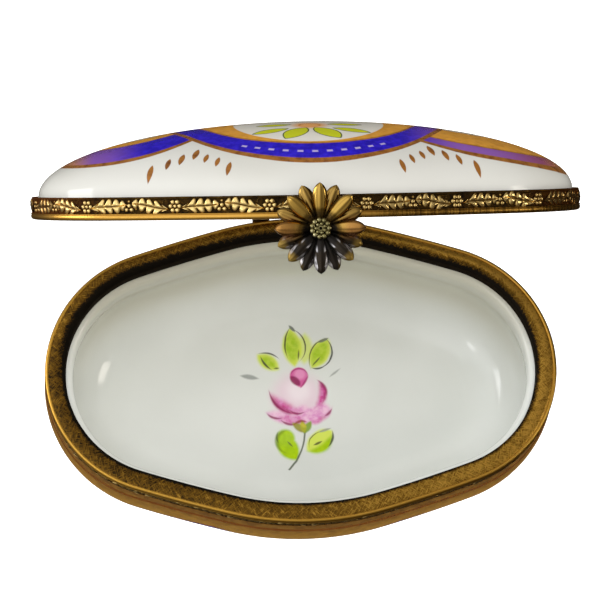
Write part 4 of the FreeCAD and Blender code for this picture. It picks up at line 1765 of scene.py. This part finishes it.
# ------------------------------------------------------------------------------------ daisy clasp
@dataclass
class DaisyClasp:
    """The tongue at the front of the lid with its two layers of petals and the beaded stamens."""

    clearance: float = 0.12
    strip: float = 0.6
    strip_width: float = 4.0
    drop: float = 3.0
    pad_height: float = 1.5
    nib_radius: float = 0.28
    nib_length: float = 2.4
    nib_depth: float = 2.1
    nib_clearance: float = 0.04
    centre_z: float = 22.4
    radius: float = 6.3
    root: float = 0.8
    petals: int = 8
    half_width: float = 1.04
    hub_radius: float = 1.75
    hub: float = 0.75
    front_tilt: float = 9.0
    back_tilt: float = 2.0

    def facing(self, proud: float) -> Matrix:
        """The place of a flower piece drawn along +Z, this far in front of the rim."""
        turn = Matrix.Rotation(math.pi / 2, 4, "X")
        return Matrix.Translation((0, -(OUTLINE.width / 2 + proud), self.centre_z)) @ turn

    def petal(self, tilt: float) -> Motif:
        """A pointed petal along +X: rounded over, with a groove down the middle and a rolled rim.

        Args:
            tilt: how far it leans forward, in degrees.

        Returns:
            The petal.
        """
        bm = bmesh.new()
        bmesh.ops.create_grid(bm, x_segments=26, y_segments=14, size=1.0)
        reach = self.radius - 0.03 - self.root
        for vert in bm.verts:
            along, across = (vert.co.x + 1) / 2, vert.co.y
            widening = math.sin(math.pi / 2 * min(1.0, along / 0.62)) ** 1.3
            width = self.half_width * (0.34 + 0.66 * widening)
            tip = 1.0 if along < 0.62 else max(0.0, 1 - ((along - 0.62) / 0.38) ** 2.4) ** 0.75
            swell = 0.35 + 0.65 * math.sin(math.pi * min(1.0, 0.1 + along * 0.85))
            crown = 0.5 * (1 - abs(across) ** 2.2) * swell * min(1.0, tip * 1.6)
            groove = 0.12 * math.exp(-(across / 0.12) ** 2) * swell * (1 - along)
            flute = 0.05 * math.cos(across * math.pi * 3.2) * swell
            vert.co = (self.root + along * reach, across * width * tip, 0.26 + crown - groove + flute)
        bmesh.ops.remove_doubles(bm, verts=bm.verts, dist=0.01)
        skin = bmesh.ops.extrude_face_region(bm, geom=list(bm.faces))["geom"]
        lower = [g for g in skin if isinstance(g, BMVert)]
        bmesh.ops.translate(bm, vec=(0, 0, -0.25), verts=lower)
        bmesh.ops.recalc_face_normals(bm, faces=bm.faces)
        turn = Matrix.Translation((self.root, 0, 0)) @ Matrix.Rotation(math.radians(-tilt), 4, "Y")
        bmesh.ops.transform(bm, matrix=turn @ Matrix.Translation((-self.root, 0, 0)), verts=bm.verts)
        return Motif(bm)

    def layer(self, name: str, node: str, finish: PetalBrass, proud: float, tilt: float) -> None:
        """One stamping of petals on its hub.

        Args:
            name: what it is called.
            node: the CAD node it stands for.
            finish: its finish.
            proud: how far its back stands in front of the rim.
            tilt: how far it leans forward, in degrees.
        """
        bm = bmesh.new()
        motif = self.petal(tilt)
        for index in range(self.petals):
            angle = math.radians(finish.turn + index * 360 / self.petals)
            motif.stamp(bm, Matrix.Rotation(angle, 4, "Z"))
        rise = Matrix.Translation((0, 0, self.hub / 2))
        bmesh.ops.create_cone(bm, cap_ends=True, segments=40, radius1=self.hub_radius,
                              radius2=self.hub_radius * 0.8, depth=self.hub, matrix=rise)
        place = self.facing(proud)
        bmesh.ops.transform(bm, matrix=place, verts=bm.verts)
        Piece(name, Side.LID, (node,), "gilt_brass", (finish,), 50, local=place.inverted()).complete(bm)

    def stamens(self, proud: float) -> None:
        """A ring of beads round the sunk eye, inside a second ring of finer ones.

        Args:
            proud: how far its back stands in front of the rim.
        """
        bm = bmesh.new()
        bead = Motif(self.ball())
        for count, ring, radius, height in ((11, 1.14, 0.38, 0.42), (7, 0.6, 0.27, 0.56)):
            for index in range(count):
                angle = 2 * math.pi * (index + 0.5 * (count == 7)) / count
                place = Matrix.Translation((ring * math.cos(angle), ring * math.sin(angle), height))
                bead.stamp(bm, place @ Matrix.Scale(radius, 4))
        bead.stamp(bm, Matrix.Translation((0, 0, 0.42)) @ Matrix.Scale(0.22, 4), 1)
        seat = bmesh.new()
        bmesh.ops.create_cone(seat, cap_ends=True, segments=40, radius1=1.42, radius2=0.9, depth=0.4,
                              matrix=Matrix.Translation((0, 0, 0.2)))
        Motif(seat).stamp(bm, Matrix.Identity(4), 1)
        place = self.facing(proud)
        bmesh.ops.transform(bm, matrix=place, verts=bm.verts)
        Piece("daisy_stamens", Side.LID, ("daisy_boss",), "gilt_brass", (STAMEN_BRASS, EYE_BRASS), 60,
              local=place.inverted()).complete(bm)

    def ball(self) -> BMesh:
        """A bead of radius 1.

        Returns:
            The bead.
        """
        bm = bmesh.new()
        bmesh.ops.create_icosphere(bm, subdivisions=3, radius=1.0)
        return bm

    def tongue(self) -> None:
        """The strip behind the daisy, stepped back to the gallery above, with its nib."""
        bm = bmesh.new()
        half = OUTLINE.width / 2
        front, pad_z = half + self.clearance + self.strip, RIMS.lid_z + RIMS.ring
        for back, bottom, top in ((half + self.clearance, RIMS.top - self.drop, pad_z + 0.01),
                                  (half - 0.18, pad_z, pad_z + self.pad_height)):
            middle = Vector((0, -(front + back) / 2, (bottom + top) / 2))
            size = Matrix.Diagonal((self.strip_width, front - back, top - bottom, 1))
            bmesh.ops.create_cube(bm, size=1.0, matrix=Matrix.Translation(middle) @ size)
        bmesh.ops.bevel(bm, geom=list(bm.edges), offset=0.1, offset_type="OFFSET", segments=2, profile=0.5,
                        affect="EDGES", material=-1)
        spot = Vector((0, -(half + self.nib_clearance + self.nib_radius), RIMS.top - self.nib_depth))
        bmesh.ops.create_cone(bm, cap_ends=True, segments=24, radius1=self.nib_radius,
                              radius2=self.nib_radius, depth=self.nib_length,
                              matrix=Matrix.Translation(spot) @ Matrix.Rotation(math.pi / 2, 4, "Y"))
        Piece("clasp_tongue_strip", Side.LID, ("clasp_tongue",), "antique_brass", (HINGE_BRASS,)).complete(bm)

    def build(self) -> None:
        """Makes the tongue, both layers of petals and the stamens."""
        face = self.clearance + self.strip
        self.tongue()
        front = face + self.hub
        self.layer("daisy_petals_back", "daisy_back_petals", BACK_PETAL_BRASS, face, self.back_tilt)
        self.layer("daisy_petals_front", "daisy_front_petals", FRONT_PETAL_BRASS, front, self.front_tilt)
        self.stamens(face + 2 * self.hub)


# ------------------------------------------------------------------------------------ studio
@dataclass(frozen=True)
class Lamp:
    """One square soft light aimed at the box, in metres and watts."""

    name: str
    place: Point3
    size: float
    power: float
    warmth: str = "FFFFFF"
    mirrored: bool = True
    aim: Point3 = (0.0, 0.005, 0.03)

    def hang(self) -> None:
        """Adds the light; glossy surfaces show it only where it is mirrored."""
        data = bpy.data.lights.new(self.name, "AREA")
        data.size = self.size
        data.energy = self.power
        data.color = tint(self.warmth)[:3]
        made = bpy.data.objects.new(self.name, data)
        made.visible_glossy = self.mirrored
        spot = Vector(self.place)
        turn = (Vector(self.aim) - spot).to_track_quat("-Z", "Y")
        made.matrix_world = Matrix.Translation(spot) @ turn.to_matrix().to_4x4()
        bpy.context.scene.collection.objects.link(made)


@dataclass
class Studio:
    """Pale floor, soft light and the camera."""

    target: Point3 = (0.0, 11.1, 23.5)
    azimuth: float = -10.2
    elevation: float = 70.0
    roll: float = 8.35
    distance: float = 293.6
    lens: float = 108.9
    cloud: Point3 = (-0.62, -0.05, 0.78)
    glow: float = 1.3
    lamps: tuple[Lamp, ...] = (
        Lamp("overhead", (0.0, 0.03, 0.62), 0.3, 1.6, mirrored=False),
        Lamp("front", (0.25, -0.36, 0.42), 0.5, 1.3, "FFFDF8", mirrored=False),
        Lamp("left", (-0.5, 0.1, 0.14), 0.24, 0.75),
        Lamp("right", (0.48, -0.06, 0.3), 0.16, 0.45, "FFF8EC"),
        Lamp("spark", (-0.4, -0.25, 0.47), 0.1, 0.13),
    )
    sky_stops: tuple[tuple[float, str], ...] = (
        (0.0, "2A241C"), (0.42, "3A332A"), (0.6, "77726A"), (0.78, "98948C"), (0.88, "CFCCC4"),
        (0.96, "FFFFFF"), (1.0, "FFFFFF"))

    def camera(self) -> None:
        """Looks steeply down from the front, a little from the left."""
        turn, lift, roll = (math.radians(a) for a in (self.azimuth, self.elevation, self.roll))
        back = Vector((math.sin(turn) * math.cos(lift), -math.cos(turn) * math.cos(lift), math.sin(lift)))
        level = Vector((math.cos(turn), math.sin(turn), 0))
        above = back.cross(level)
        right = level * math.cos(roll) + above * math.sin(roll)
        up = above * math.cos(roll) - level * math.sin(roll)
        data = bpy.data.cameras.new("camera")
        data.lens = self.lens
        data.sensor_width = 36
        data.clip_start = 0.01
        data.clip_end = 20
        made = bpy.data.objects.new("camera", data)
        place = (Vector(self.target) + back * self.distance) * MM
        made.matrix_world = Matrix.Translation(place) @ Matrix((right, up, back)).transposed().to_4x4()
        bpy.context.scene.collection.objects.link(made)
        bpy.context.scene.camera = made

    def floor(self) -> None:
        """A wide pale sheet that the box stands on."""
        bm = bmesh.new()
        bmesh.ops.create_grid(bm, x_segments=1, y_segments=1, size=2.5)
        bmesh.ops.translate(bm, vec=(0, 0, -0.02), verts=bm.verts)
        bmesh.ops.scale(bm, vec=(1, 1, 0.001), verts=bm.verts)
        mesh = bpy.data.meshes.new("floor")
        bm.to_mesh(mesh)
        bm.free()
        mesh.materials.append(Shader(bpy.data.materials.new("floor_paper")).surface(
            Base_Color=tint("FBFBFA"), Roughness=0.9, Emission_Color=tint("FFFFFF"), Emission_Strength=0.8))
        made = bpy.data.objects.new("floor", mesh)
        made.visible_glossy = False
        bpy.context.scene.collection.objects.link(made)

    def sky(self) -> None:
        """Soft surroundings, white behind the box: a bright cloud high on the left, brown elsewhere."""
        world = bpy.data.worlds.new("studio")
        shader = Shader(world)
        gaze = shader.node("ShaderNodeTexCoord", output="Generated")
        towards = shader.node("ShaderNodeVectorMath", [gaze, self.cloud], "Value", operation="DOT_PRODUCT")
        stops = [(place, tint(code)) for place, code in self.sky_stops]
        colour = shader.node("ShaderNodeValToRGB", [towards * 0.5 + 0.5], stops=stops)
        seen = shader.node("ShaderNodeLightPath", output="Is Camera Ray")
        light = shader.node("ShaderNodeBackground", [shader.mix(colour, tint("FFFFFF"), seen), self.glow])
        shader.node("ShaderNodeOutputWorld", {"Surface": light})
        bpy.context.scene.world = world

    def build(self) -> None:
        """Sets up floor, lights, sky and camera."""
        self.floor()
        for lamp in self.lamps:
            lamp.hang()
        self.sky()
        bpy.context.scene.view_settings.view_transform = "Standard"
        self.camera()


def dress_kept_nodes() -> None:
    """Gives a finish to the CAD nodes that stay: both cement beds and the rivet."""
    for node, finish in (("base_cement", Plaster("cement")), ("lid_cement", Plaster("cement")),
                         ("clasp_rivet", STAMEN_BRASS)):
        kept = frame["nodes"][node]
        kept.data.materials.clear()
        kept.data.materials.append(wear(finish))
        LOG.info("%s keeps its solid, in %s", node, finish.name)


def main() -> None:
    """Builds every piece, then the studio."""
    logging.basicConfig(level=logging.INFO, format="%(message)s")
    BasePorcelain().build()
    LidPorcelain().build()
    for side in Side:
        RimSet(side).build()
    KnuckleHinge().build()
    DaisyClasp().build()
    dress_kept_nodes()
    Studio().build()


if __name__ == "__main__":
    main()
